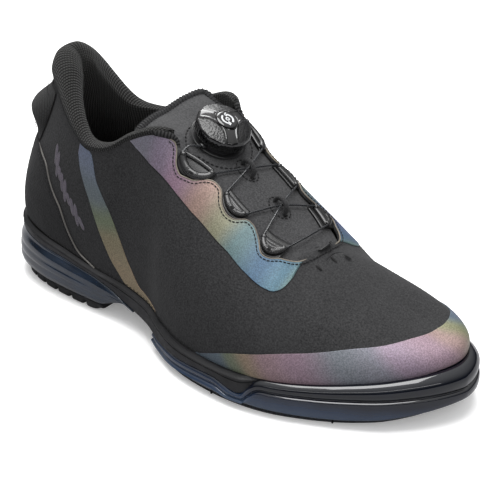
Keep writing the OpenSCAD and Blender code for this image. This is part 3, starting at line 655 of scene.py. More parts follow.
def wsheet(name, um, lo, hi, off, thick, du=1 / 16, nv=TS, toe=False, **kw):
    w = lin(-um, um, du); u = U - abs(w) if toe else abs(w)
    l, h = lo(u), hi(u)
    v = l[:, None] + (h - l)[:, None] * nv[None]
    P, N = wsurf(w, v, toe)
    A = np.stack([np.broadcast_to(w[:, None], v.shape), v, 0 * v], -1)
    o_ = off(u, v) if callable(off) else off
    return grid(name, P + (N * o_[..., None] if callable(off) else N * o_), N, A, 0, thick, **kw)


def heel_hi(u):
    return soft(lambda x: lk(x, [[0, .6], [1.9, .6], [2.62, .57], [3.68, .36], [4.45, .055], [4.98, .0]]), u, .1)


edgeround = lambda full, l, h, r=.06: (lambda u, v: full * np.sqrt(np.clip(1 - np.clip(1 - np.minimum(v - l(u)[:, None], h(u)[:, None] - v) / r, 0, 1) ** 2, 0, 1)))
Z = lambda c: (lambda u: np.full(np.shape(u), float(c)))
hr = edgeround(.9, Z(.01), heel_hi)
wsheet("heel_wrap", 4.85, Z(.01), heel_hi, lambda u, v: .15 + hr(u, v), 1.2, mat=M_HEEL, sharp=60, rep=["heel_panel"], slot="microfibre_dark")


def along(s, us, vs, o=0.):
    us = np.asarray(us, float)
    P, N = surf(s, us, np.asarray(vs, float)[:, None])
    return P[:, 0] + N[:, 0] * o, N[:, 0]


# piping along the heel wrap's front edge, one run each side, and its stitch line
for s, nm in ((-1, "lateral"), (1, "medial")):
    us = np.linspace(1.75, 4.96, 90)
    P, N = along(s, us, np.maximum(heel_hi(us), .004), .7)
    sweep("heel_piping_" + nm, P, .5 * np.minimum(1, np.linspace(0, 6, 90) + .25), N=N, k=10, mat=M_PIPE, slot="microfibre_dark")
b = bag()
for s in (-1, 1):
    us = np.linspace(1.9, 4.4, 70)
    P, N = along(s, us, heel_hi(us) - .035, 1.1)
    stitches(b, P, N, pitch=2.6, ln=1.7, r=.2)
close_bag("heel_stitches", b, mat=M_THREAD, slot="microfibre_dark")

# heel pull tab: a flared webbing loop
def tab():
    w = lin(-1.75, 1.75, 1 / 20); v = np.linspace(.615, .985, 34)
    P, N = wsurf(w, v[None])
    k = np.clip(1 - (abs(w) / 1.75) ** 2, 0, 1)[:, None] ** .8
    f = .95 + 9.5 * k * np.where(v < .76, sm((v - .61) / .15), 1 - sm((v - .74) / .26))[None]
    O = P + N * f[..., None]; I = P + N * .35
    R = np.concatenate([O, I[:, ::-1]], 1)
    A = np.stack([np.broadcast_to(w[:, None], R.shape[:2]) * 8, np.broadcast_to(np.concatenate([v, v[::-1]])[None], R.shape[:2]) * 60, 0 * R[..., 0]], -1)
    o = loft("pull_tab", R, A, mat=M_PULL, sharp=50, rep=["heel_pull_tab"], slot="tab_fabric")
    b = bag()
    for vv in (.66, .93):
        k2 = np.linspace(-1.35, 1.35, 60); Q, M = wsurf(k2, np.full((60, 1), vv))
        kk = np.clip(1 - (abs(k2) / 1.75) ** 2, 0, 1) ** .8
        ff = .95 + 13 * kk * (sm((vv - .61) / .15) if vv < .76 else 1 - sm((vv - .74) / .26))
        stitches(b, Q[:, 0] + M[:, 0] * (ff[:, None] + .05), M[:, 0], pitch=2.2, ln=1.5, r=.2)
    close_bag("tab_stitches", b, mat=M_THREAD, slot="tab_fabric")


tab()


# collar roll
def cw(u): return soft(lambda x: lk(abs(x), [[0, 18], [1, 17], [2, 14], [3, 10], [4, 6.4], [5, 5.4], [6, 5.2], [7, 5], [7.5, 4.4]]), u, .3)
def ch(u): return soft(lambda x: lk(abs(x), [[0, 17.6], [1, 17.6], [2, 13.8], [3, 8.5], [4, 4], [5, 3.4], [6, 3.4], [7, 3.2], [7.5, 2.6]]), u, .3)


def collar():
    w = lin(-7.25, 7.25, 1 / 14); u = abs(w)
    n2 = np.where((w <= 0)[:, None], nb(-1, u), nb(1, u)); o = np.concatenate([n2, 0 * n2[:, :1]], 1)
    T = np.where((w <= 0)[:, None], tp(-1, u), tp(1, u))
    W, h = cw(w)[:, None], (ch(w) - np.where(w > 0, soft(lambda x: lk(x, [[0, 0], [.9, -2.4], [1.7, -2.6], [2.3, 1.4], [3, 4], [4, .6], [5, 0]]), u, .3), 0))[:, None]
    A0 = T + [0, 0, .7]; I = -o; z = np.array([0, 0, 1.])
    vs = np.array([.88, .68, .4, .1]); P, N = wsurf(w, vs[None])
    cd = 4.6 + (np.maximum(W - 1, 4.6) - 4.6) * sm((vs[None] - .35) / .5)
    low = P - N * cd[..., None]
    path = np.stack([A0 + I * .2 - z * 1.2, A0 - I * .55 + z * h * .22, A0 - I * .8 + z * h * .5, A0 + I * .14 * W + z * h * .88, A0 + I * .5 * W + z * h,
                     A0 + I * .83 * W + z * h * .85, A0 + I * W + z * h * .4], 1)
    R = crsm(np.concatenate([path, low], 1), 7)
    top = R[:, 28]
    Lw = np.concatenate([[0], np.cumsum(np.linalg.norm(np.diff(top, axis=0), axis=1))])
    Lp = np.concatenate([np.zeros((len(w), 1)), np.cumsum(np.linalg.norm(np.diff(R, axis=1), axis=2), axis=1)], 1)
    A = np.stack([np.broadcast_to(Lw[:, None], Lp.shape), Lp, 0 * Lp], -1)
    Nn = np.broadcast_to(o[:, None], R.shape)
    n, m = Lp.shape
    F = quads(n, m, flip=orient(R[:, :14], Nn[:, :14]))
    obj = make("collar_roll", R.reshape(-1, 3), F, A.reshape(-1, 3), fix=False, merge=0, sharp=180, solid=1.2, mat=M_KNIT,
               rep=["collar_lining", "collar_foam"], slot="rib_knit")
    pin = np.zeros((n, m)); pin[:, :4] = 1; pin[:, 44:] = 1; pin[:2] = 1; pin[-2:] = 1
    puff(obj, pin.ravel(), 2.0, 1.6, 12, bend=1.2)
    return obj


COLLAR = collar()

# film pieces
def eye_lo(u):
    return soft(lambda x: lk(x, [[5.85, 1.02], [5.98, .995], [6.28, .93], [6.6, .875], [6.9, .83], [7.23, .795], [7.6, .76], [7.9, .735], [8.2, .715], [8.53, .70], [8.83, .69], [9.55, .685], [10.25, .68], [10.95, .65], [11.4, .62], [11.7, .612], [11.85, .63], [11.95, .67], [12.02, .76]]), u, .05)


NV = np.concatenate([[0, .01], np.linspace(.03, .97, 22), [.99, 1]])
for s, nm in ((-1, "l"), (1, "m")):
    u = lin(6, 12, 1 / 24)
    l, h = eye_lo(u), np.minimum(edge(u), .995)
    l = np.minimum(l, h - .004)
    v = l[:, None] + (h - l)[:, None] * NV[None]
    P, N = surf(s, u, v)
    A = np.stack([np.broadcast_to(u[:, None], v.shape), v, 0 * v], -1)
    grid("eyestay_film_" + nm, P, N, A, .5, .55, mat=M_EYE, sharp=60, rep=["eyestay_lateral" if s < 0 else "eyestay_medial"], slot="film")
toe_hi = lambda u: soft(lambda x: lk(17 - abs(17 - x), [[9.5, -.02], [9.75, .0], [10.9, .14], [12.28, .245], [13.1, .30], [14.8, .44], [15.75, .565], [17, .735]]), np.minimum(u, 17), .32)
tf_ = wsheet("toe_film", 7.25, Z(.006), lambda u: np.maximum(toe_hi(u), .012), .55, .6, toe=True, mat=M_TOE, sharp=60, rep=["toe_overlay"], slot="film")
relax(tf_, TIP, 20, 24)
str_lo = lambda u: soft(lambda x: lk(x, [[3.65, .94], [3.88, .815], [4.55, .585], [4.93, .425], [5.58, .14], [6.05, .01]]), u, .1)
str_hi = lambda u: soft(lambda x: lk(x, [[3.7, .985], [4.28, .985], [4.62, .765], [5.4, .515], [6.18, .2], [6.6, .065], [7.6, .012]]), u, .1)
for s, nm in ((-1, "l"), (1, "m")):
    u = lin(3.7, 7.5, 1 / 20); l, h = str_lo(u), str_hi(u); l = np.minimum(l, h - .004)
    v = l[:, None] + (h - l)[:, None] * NV[None]; P, N = surf(s, u, v)
    A = np.stack([np.broadcast_to(u[:, None], v.shape), v, 0 * v], -1)
    grid("stripe_film_" + nm, P, N, A, .35, .4, mat=M_STR, sharp=60, rep=["heel_stripe_lateral" if s < 0 else "heel_stripe_medial"], slot="film")

# scalloped border: a raised film edge and a row of dark stitches beside it
ue = np.concatenate([np.linspace(7.35, 12.4, 210)])
EP_ = {}
for s, nm in ((-1, "lateral"), (1, "medial")):
    P, N = along(s, ue, edge(ue), .35)
    EP_[s] = (P, N)
Pall = np.concatenate([EP_[-1][0], EP_[1][0][::-1][1:]]); Nall = np.concatenate([EP_[-1][1], EP_[1][1][::-1][1:]])
Pall, Nall = resample(Pall, Nall, .9)
for _ in range(2):
    Pall[1:-1] = .5 * Pall[1:-1] + .25 * (Pall[:-2] + Pall[2:])
# the two sides meet in one smooth curve across the tongue's toe end
c0_ = int(np.argmin(abs(Pall[:, 1]) + 1000 * (Pall[:, 0] < Pall[:, 0].max() - 12)))
tjw = np.exp(-((np.arange(len(Pall)) - c0_) / 11.) ** 4)[:, None]
for _ in range(120):
    Pall[1:-1] += tjw[1:-1] * (.5 * (Pall[:-2] + Pall[2:]) - Pall[1:-1])
    Nall[1:-1] += tjw[1:-1] * (.5 * (Nall[:-2] + Nall[2:]) - Nall[1:-1])
Nall = unit(Nall)
sweep("eyestay_rim", Pall, .4, N=Nall, k=10, mat=M_RIM, slot="film")
tj0, tj1 = max(c0_ - 17, 0), c0_ + 18
tjt = np.linspace(-1, 1, tj1 - tj0)
sweep("vamp_edge_tape", Pall[tj0:tj1] - .25 * Nall[tj0:tj1] + np.array([-.3, 0, .1]), 3.0 * np.sqrt(np.clip(1 - tjt ** 6, .05, 1)), N=Nall[tj0:tj1], k=16, squash=.26, mat=M_SHELL, slot="microfibre")
T_ = frames_along(Pall); B_ = unit(np.cross(T_, Nall))
mid_ = Pall.mean(0)
sgn = np.sign(((Pall[60] - Pall[60] * [1, 0, 1]) @ B_[60]))
Q_ = Pall + B_ * (1.55 * sgn) + Nall * .18
bv = BVHTree.FromPolygons([Vector(p) for p in (np.array([v.co for v in SHELL.data.vertices]) * 1000)], [tuple(p.vertices) for p in SHELL.data.polygons])
QQ, NN = [], []
for q, n in zip(Q_, Nall):
    h = bv.find_nearest(Vector(q), 6)
    if h[0] is not None:
        QQ.append(h[0]); nn = np.array(h[1]); NN.append(nn if nn @ n > 0 else -nn)
QQ, NN = np.array(QQ), np.array(NN)
b = bag(); stitches(b, QQ + NN * .62, NN, pitch=2.1, ln=1.45, r=.3, up=.1)
close_bag("eyestay_stitches", b, mat=M_THREAD, slot="film")

# ribbed binding along the top edge ahead of the roll
for s, nm in ((-1, "lateral"), (1, "medial")):
    us = np.linspace(6.9, 7.62, 30); P, N = along(s, us, np.minimum(edge(us), 1), 0)
    P = P + np.array([0, -s * 1.2, .9])
    sweep("collar_end_" + nm, P, 2.3 * np.sqrt(np.clip(np.linspace(1.3, .25, 30), 0, 1)), N=N, k=14, mat=M_BIND, slot="rib_knit")

# vent slits
b = bag()
for u, v, a in ((12.45, .85, .5), (12.65, .965, .45), (12.72, .965, -.3)):
    s = -1 if a > 0 else 1
    P, N = pt(s, u, v, .12); P2, _ = pt(s, u + .16, v - .005, .12)
    d = unit(P2 - P)[0]; c = P[0]
    if a < 0:
        c = c + np.array([2, 2.0, 0])
    t = np.linspace(-1, 1, 9)
    sweep("", c + d * (t * 2.3)[:, None], .85 * np.sqrt(np.clip(1 - t * t, .02, 1)), N=np.tile(N[0], (9, 1)), k=10, squash=.4, parts=b)
close_bag("vent_slits", b, mat=M_SLIT, slot="microfibre")

# generic motif of slanted strokes on the outer quarter
b = bag()
for i in range(9):
    t = i / 8
    u0, v0 = 2.75 + 1.62 * t, .70 - .36 * t
    hgt = .07 * (1 + .35 * math.sin(i * 2.1))
    us = np.linspace(u0 - .05, u0 + .22, 9); vs = np.linspace(v0 + hgt, v0 - hgt, 9)
    P, N = along(-1, us, vs, .12)
    k = np.linspace(-1, 1, 9)
    sweep("", P, 1.45 * np.sqrt(np.clip(1 - k ** 4, .03, 1)), N=N, k=8, squash=.28, parts=b)
close_bag("quarter_motif", b, mat=M_MOTIF, slot="film")

# ---------------------------------------------------------------- sole
def ins(u): return lk(u, [[0, 3.5], [3, 2.8], [6, 2.2], [7.5, 2.6], [9, 3.6], [12, 3.8], [14, 5], [15.5, 6.2], [17, 8]])
def Q(s, u, e, z):
    R, n = row(s, u), nb(s, u); e = np.broadcast_to(e, (len(u),)); z = np.broadcast_to(z, (len(u),))
    return np.stack([R[:, 0] - n[:, 0] * e, R[:, 1] - n[:, 1] * e, z], 1)
def zb(u): return np.minimum(row(-1, u)[:, 2], row(1, u)[:, 2])
def zi(u): return zb(u) - 5
def zlow(u):
    return np.minimum(soft(lambda x: lk(x, [[0, 29], [2, 29], [3, 27], [4, 25.4], [5, 22], [5.6, 18.5], [6, 15], [6.5, 12.5], [7, 11], [7.5, 10.3], [8, 9.8], [9, 11], [10, 12.6],
        [10.5, 12.9], [11, 9], [11.2, 8.6], [11.5, 11], [11.75, 15], [12, 19]]), u, .12), zb(u) - .3)
def ground(x): return soft(lambda t: lk(t, [[95, 1.5], [104, .8], [113, .2], [122, 0], [204, 0], [219, .8], [234, 2.5], [246, 5], [260, 8.8]]), x, 4)
def G(s, u, e, dz):
    q = Q(s, u, e, 0.); q[:, 2] = ground(q[:, 0]) + dz
    return q
def both(f, u):
    a, b = f(-1, u), f(1, u)
    return np.concatenate([a, b[:, ::-1]], 1)


def loft2(name, f, u, **kw):
    R = both(f, u)
    n, m, _ = R.shape
    A = np.stack([np.broadcast_to(u[:, None], (n, m)), np.broadcast_to(np.linspace(0, 1, m)[None], (n, m)), np.zeros((n, m))], -1)
    # end walls: zip point k to point m-1-k
    F = quads(n, m, ring=True)
    for i in (0, n - 1):
        F += [(i * m + k, i * m + k + 1, i * m + m - 2 - k, i * m + m - 1 - k) for k in range(m // 2 - 1)]
    return make(name, R.reshape(-1, 3), F, A.reshape(-1, 3), merge=1e-5, **kw)


def band_e(u):
    t = sm((u - 11.2) / .5)
    return -ins(u) * (1 - t) + .2 * t


def mids(s, u):
    b = row(s, u)[:, 2]; eo = band_e(u); w = sm((u - 6.6) / .8)
    zo = np.minimum(zlow(u) + .2, b - 2.6); zt = b - 1.4
    base = np.where(u < 7, zlow(u) - 1.5, ground(row(s, u)[:, 0]) + 5.3)
    H = zt - zo
    L = [Q(s, u, np.minimum(eo + 6, 4), np.minimum(base, zo)), Q(s, u, eo + 2.2, zo - .1), Q(s, u, eo + .5, zo), Q(s, u, eo + .05, zo + .45), Q(s, u, eo, zo + np.minimum(1.2, .3 * H)),
         Q(s, u, eo + .1, zo + H * .6), Q(s, u, eo + .12, zt - np.minimum(2.5, .3 * H)), Q(s, u, eo + .75, zt - np.minimum(2.1, .26 * H)), Q(s, u, eo + .75, zt - np.minimum(1.8, .22 * H)),
         Q(s, u, eo + .02, zt - np.minimum(1.4, .18 * H)), Q(s, u, eo - .05, zt - .5), Q(s, u, eo + .15, zt - .1), Q(s, u, np.minimum(eo + .7, .3), zt + .15), Q(s, u, np.minimum(eo + 1.6, .5), b + .1),
         Q(s, u, 2.6, b - .3), Q(s, u, 3, zi(u))]
    return np.stack(L, 1)


loft2("midsole_band", mids, lin(0, U, 1 / 14), sharp=55, mat=M_MID, rep=["midsole"], slot="midsole_rubber")
# stitch line where the upper meets the band, round the heel
b = bag()
P, N = wsurf(np.linspace(-11.2, 11.2, 260), np.full((260, 1), .018))
stitches(b, P[:, 0] + N[:, 0] * .35, N[:, 0], pitch=3.2, ln=1.5, r=.16)
close_bag("feather_stitches", b, mat=M_THREAD, slot="midsole_rubber")


def cush(s, u):
    f = soft(lambda x: lk(x, [[0, 1], [4, 1], [6.4, .1]]), u, .2); t = zlow(u); b_ = np.minimum(t - .5, soft(lambda x: lk(x, [[0, 6.2], [5.2, 6.2], [5.9, 13], [6.5, 16]]), u, .12)); h = t - b_; i = -ins(u); c = -2.4 * f
    L = [Q(s, u, i + 2.5, b_), Q(s, u, i + c * .4, b_ + h * .06), Q(s, u, i + c, b_ + h * .2), Q(s, u, i + c * .98, b_ + h * .3), Q(s, u, i + c + .32 * f, b_ + h * .37), Q(s, u, i + c * .98, b_ + h * .44), Q(s, u, i + c * .92, b_ + h * .52),
         Q(s, u, i + c * .8 + .26 * f, b_ + h * .6), Q(s, u, i + c * .72, b_ + h * .67), Q(s, u, i + c * .6, b_ + h * .75), Q(s, u, i + c * .4 + .16 * f, b_ + h * .82), Q(s, u, i + .0, b_ + h * .9), Q(s, u, i + .5, b_ + h * .97), Q(s, u, i + 1.5, t)]
    R = crsm(np.stack(L, 1), 4)
    return np.concatenate([R, Q(s, u, 3.6, t - .5)[:, None]], 1)


loft2("cushion", cush, lin(0, 6.45, 1 / 16), sharp=70, mat=M_CUSH, rep=["heel_cushion"], slot="cushion_tpu")


def tray(s, u):
    g = soft(lambda x: ground(x), row(s, u)[:, 0] + nb(s, u)[:, 0] * 3, 1); t = np.where(u < 11.7, zlow(u), row(s, u)[:, 2] - .1)
    k = sm((u - 11.2) / .7); t = zlow(u) * (1 - k) + (row(s, u)[:, 2] - .1) * k; t = np.minimum(t, row(s, u)[:, 2] - .1)
    i = -ins(u); gr = np.maximum(g + 5.6, t - lk(u, [[11, 4.5], [13, 6], [15, 8.5], [17, 11]]))
    H = np.maximum(t - gr - .3, .4); wd = -i + .1
    L = [Q(s, u, -.15, t - .2), Q(s, u, -.2 - .1 * wd, t + .25), Q(s, u, -.1 - .4 * wd, t + .2), Q(s, u, -.05 - .68 * wd, t - .1 * H), Q(s, u, -.05 - .88 * wd, t - .27 * H), Q(s, u, -.02 - wd, t - .5 * H),
         Q(s, u, .05 - wd, t - .72 * H), Q(s, u, .5 - wd, t - .9 * H), Q(s, u, 1.2 - wd, gr + .1), Q(s, u, 1.1 - wd, gr - .25), Q(s, u, .25 - wd, gr - .75), Q(s, u, -.35 - wd, gr - 1.7), Q(s, u, -.5 - wd, (gr + g + 3.3) / 2), Q(s, u, -.1 - wd, g + 5.0), Q(s, u, .6 - wd, g + 4.2)]
    R = crsm(np.stack(L, 1), 4)
    return np.concatenate([R, G(s, u, i + 1.3, 3.9)[:, None], G(s, u, i + 3.2, 3.5)[:, None], G(s, u, 6, 3.5)[:, None]], 1)


u_ = np.concatenate([lin(7.5, 13, 1 / 16), lin(13, U, 1 / 24)[1:]])
Ra = both(tray, u_)
# inner wall hidden under the upper closes the shell
def trin(s, u):
    t = row(s, u)[:, 2] - 1.2
    return np.stack([Q(s, u, .4, np.minimum(t, np.maximum(zlow(u), 9.))), Q(s, u, 1.2, ground(row(s, u)[:, 0]) + 4.9), Q(s, u, 8, ground(row(s, u)[:, 0]) + 4.9)], 1)
Rb = both(trin, u_)
R = np.concatenate([Ra, Rb[:, ::-1]], 1)
loft("toe_wrap", R, caps=True, sharp=70, mat=M_TPU, rep=["toe_wrap_outsole"], slot="outsole_tpu")


def slide(s, u):
    L = [G(s, u, 1.2, 0.), G(s, u, .2, .03), G(s, u, -.35, .3), G(s, u, -.6, .8), G(s, u, -.62, 1.4), G(s, u, -.45, 1.85), G(s, u, .1, 2.15), G(s, u, 1.5, 2.2)]
    return np.stack(L, 1)


# heel pad: a rubber heel with rounded lugs along its rim
HCUT = np.array([.28, .82, 1.36, 1.9, 2.44, 2.98, 3.52, 4.06, 4.56])


def hpad(s, u):
    dd = np.min(abs(u[:, None] - HCUT[None]), 1)
    cut = 1 - sm((dd - .02) / .07); e = sm((u - 4.72) / .45) * .999
    z0 = 1.9 * cut + 2.6 * e ** 2; o = -.55 + 1.0 * cut + .5 * e; top_ = 4.98
    L = [Q(s, u, 2.6, z0 * .0 + 2.6 * e ** 2), Q(s, u, 1.2 + o, z0), Q(s, u, .45 + o, z0 + .12), Q(s, u, -.15 + o, z0 + .42), Q(s, u, -.5 + o, z0 * .8 + 1.0), Q(s, u, -.62 + o * .9, z0 * .5 + 1.9),
         Q(s, u, -.75 + o * .55, 3.2), Q(s, u, -.85 + o * .3, 3.9), Q(s, u, -.7 + o * .3, 4.5), Q(s, u, -.4 + o * .3, 4.85), Q(s, u, .4, top_), Q(s, u, 2.6, top_)]
    return np.stack(L, 1)


loft2("heel_pad_rim", hpad, lin(0, 5.18, 1 / 40), sharp=50, mat=M_RUB, body="heel_pad_unit", rep=["heel_pad"], slot="heel_rubber")


o = loft2("slide_pad", slide, lin(8, U, 1 / 12), sharp=60, mat=M_SLIDE, body="sole_pad", rep=["slide_sole"], slot="slide_microfibre")
b = bag()
for s in (-1, 1):
    for uu in (10.3, 13.6):
        P = G(s, np.array([uu]), -.75, 1.2)[0]
        sweep("", P + np.array([0, 0, 1.]) * np.linspace(-1.1, 1.0, 5)[:, None], .55, N=np.tile([1, 0, 0], (5, 1)), k=8, parts=b)
close_bag("slide_notches", b, body="sole_pad", mat=M_SLIT, slot="slide_microfibre")


def foot(s, u):
    z = zi(u) + 1.65
    L = [Q(s, u, 5, z), Q(s, u, 3.8, z + .1), Q(s, u, 3.4, z + 1), Q(s, u, 3.5, z + 3.4), Q(s, u, 4.2, z + 4.4), Q(s, u, 5.5, z + 4.3), Q(s, u, 8, z + 3.7), Q(s, u, 14, z + 3.4)]
    return crsm(np.stack(L, 1), 3)


loft2("footbed", foot, lin(0.05, 16.9, 1 / 8), sharp=80, mat=M_INSOLE, rep=["insole"], slot="insole_fabric")

# ---------------------------------------------------------------- tongue
TT = np.array([[66.5, 121, 26, 6], [76, 119.8, 26, 6.5], [85, 117.4, 25.5, 7], [93, 114.4, 24, 8], [100, 111.2, 24.5, 9]], float)
TY = np.array([-1, -.85, -.65, -.4, 0, .4, .65, .85, 1])


def tcross(i):
    if i < 5:
        x, z, w, d = TT[i]
        k = [1, .8, .52, .26, .08][i]
        return np.stack([x + k * (3.4 * TY ** 2 + .8), TY * w, z - d * abs(TY) ** 2.2 - 4. * k * (1 - TY ** 2) + k * (6.2 * np.maximum(TY, 0) - 1.2 * np.maximum(-TY, 0))], 1)
    u = np.array([8.25 + (i - 5) * .5]); vs = np.array([.8, .86, .92, 1]); g = 2.6
    A, NA = surf(-1, u, vs); B, NB_ = surf(1, u, vs)
    a, c = A[0] - NA[0] * g, B[0] - NB_[0] * g
    return np.concatenate([a, [(a[3] + c[3]) / 2 + [.4, 0, .9]], c[::-1]])


C = np.stack([tcross(i) for i in range(14)])
C = crsm(C, 6); C = crsm(C.transpose(1, 0, 2), 6).transpose(1, 0, 2)
nT, mT, _ = C.shape
for _ in range(3):
    C[1:-1] = .5 * C[1:-1] + .25 * (C[:-2] + C[2:])
d1 = np.gradient(C, axis=0); d2 = np.gradient(C, axis=1); TN_ = unit(np.cross(d1, d2)); TN_ *= np.sign(TN_[..., 2:3].mean())
e_ = np.linspace(-1, 1, mT); f_ = np.linspace(0, 1, nT)
puffm = (np.clip(1 - e_ ** 4, 0, 1)[None] * sm(f_ * 7)[:, None])
top = C + TN_ * (.35 * puffm[..., None]) - TN_ * (1.6 * (abs(e_) ** 10))[None, :, None]
bot = C - TN_ * (6.2 - 2.2 * (abs(e_) ** 6))[None, :, None]
Rt = np.concatenate([top, ((top + bot) / 2 + np.array([0, 1, 0]) * 1.0)[:, -1:], bot[:, ::-1], ((top + bot) / 2 - np.array([0, 1, 0]) * 1.0)[:, :1]], 1)
At = np.stack([np.broadcast_to(f_[:, None], Rt.shape[:2]), np.broadcast_to(np.linspace(0, 1, Rt.shape[1])[None], Rt.shape[:2]), np.zeros(Rt.shape[:2])], -1)
TONGUE = loft("tongue_pad", Rt, At, sharp=80, body="tongue", mat=M_TONGUE, merge=0, rep=["tongue_cover", "tongue_foam", "tongue_lining"], slot="tongue_microfibre")
pin = np.ones(Rt.shape[:2]); pin[4:-6, 6:mT - 6] = 0
pin[26:46, mT // 2 - 14:mT // 2 + 15] = 1
puff(TONGUE, pin.ravel(), 2.5, .9, 10, bend=1.5)
tbv = BVHTree.FromPolygons([Vector(v.co) * 1000 for v in TONGUE.data.vertices], [tuple(p.vertices) for p in TONGUE.data.polygons])


def drop(x, y, up=0.):
    h = tbv.ray_cast(Vector((x, y, 200)), Vector((0, 0, -1)))
    if h[0] is None:
        return None, None
    n = np.array(h[1]); n = n if n[2] > 0 else -n
    return np.array(h[0]) + n * up, n


# overlocked edge round the tongue's free end
ring = np.concatenate([top[12:0:-1, 0], top[0], top[1:13, -1]]); ringb = np.concatenate([bot[12:0:-1, 0], bot[0], bot[1:13, -1]])
cpt = ring * .68 + ringb * .32 + np.array([-.9, 0, .7])
cn = unit(ring - ringb)
cR, cN = resample(cpt, cn, 1.)
for _ in range(6):
    cR[1:-1] = .5 * cR[1:-1] + .25 * (cR[:-2] + cR[2:])
sweep("tongue_edge", cR, 2.3, N=cN, k=16, squash=1.3, body="tongue", mat=M_TAB, rep=["tongue_binding"], slot="tab_fabric")
b = bag()
T_ = frames_along(cR); X_ = unit(np.cross(T_, cN))
a_ = np.linspace(-.15 * PI, 1.15 * PI, 12)
for i in range(2, len(cR) - 2, 2):
    sk = np.linspace(-.55, .55, 12)[:, None] * T_[i]
    for sg in (1,):
        p = cR[i] + sk + 2.45 * np.cos(a_)[:, None] * X_[i] + 3.15 * np.sin(a_)[:, None] * cN[i]
        sweep("", p, .3, N=np.tile(T_[i], (12, 1)), k=6, parts=b)
close_bag("tongue_overlock", b, body="tongue", mat=M_CORD, slot="tab_fabric")

# stitched rings round the dial and the cord loops
AX = np.array([math.sin(math.radians(29)), 0, math.cos(math.radians(29))]); DX = np.array([AX[2], 0, -AX[0]]); DY = np.array([0, 1., 0]); DC = np.array([103, 0, 110.6])
b = bag()
def circle(cx, cy, rx, ry, n=90, lo=0, hi=2 * PI):
    P, N = [], []
    for a in np.linspace(lo, hi, n):
        p, nn = drop(cx + rx * math.cos(a), cy + ry * math.sin(a), .1)
        if p is not None:
            P.append(p); N.append(nn)
    return np.array(P), np.array(N)
P, N = circle(104.2, 0, 16.6, 18.2); stitches(b, P, N, pitch=2.6, ln=1.5, r=.42, up=.2)
LOOPS = [pt(-1, 9.25, 1.)[0][0] * .5 + pt(1, 9.25, 1.)[0][0] * .5, pt(-1, 10.45, 1.)[0][0] * .5 + pt(1, 10.45, 1.)[0][0] * .5]
for c in LOOPS:
    P, N = circle(c[0] - .5, 0, 6.0, 5.0, 60); stitches(b, P, N, pitch=2.1, ln=1.2, r=.4, up=.2)
close_bag("tongue_stitches", b, body="tongue", mat=M_THREAD, slot="tongue_microfibre")
b = bag(); bs = bag()
for c in LOOPS:
    d = np.array([math.cos(math.radians(31)), 0, -math.sin(math.radians(31))]); up = np.array([math.sin(math.radians(31)), 0, math.cos(math.radians(31))])
    t = np.linspace(0, PI, 15)
    p = c + d * (-4.6 * np.cos(t))[:, None] + up * (-.6 + 5.2 * np.sin(t) ** .6)[:, None] + np.array([0, 1, 0]) * (.9 * np.cos(t))[:, None]
    sweep("", p, 1.15, N=np.tile([0, 1., 0], (15, 1)), k=12, squash=1.25, parts=b)
    for sg in (-1, 1):
        q, n = drop(c[0] + sg * 4.2, sg * -.7, .15)
        if q is not None:
            t2 = np.linspace(-1.7, 1.7, 7)
            sweep("", q + np.array([0, 1, 0]) * t2[:, None], .5 * np.sqrt(np.clip(1 - (t2 / 1.75) ** 2, .05, 1)), N=np.tile(n, (7, 1)), k=8, squash=.5, parts=bs)
close_bag("cord_loops", b, body="tongue", mat=M_CORD, rep=["lace_loops"], slot="cord")
close_bag("loop_slits", bs, body="tongue", mat=M_SLIT, slot="cord")

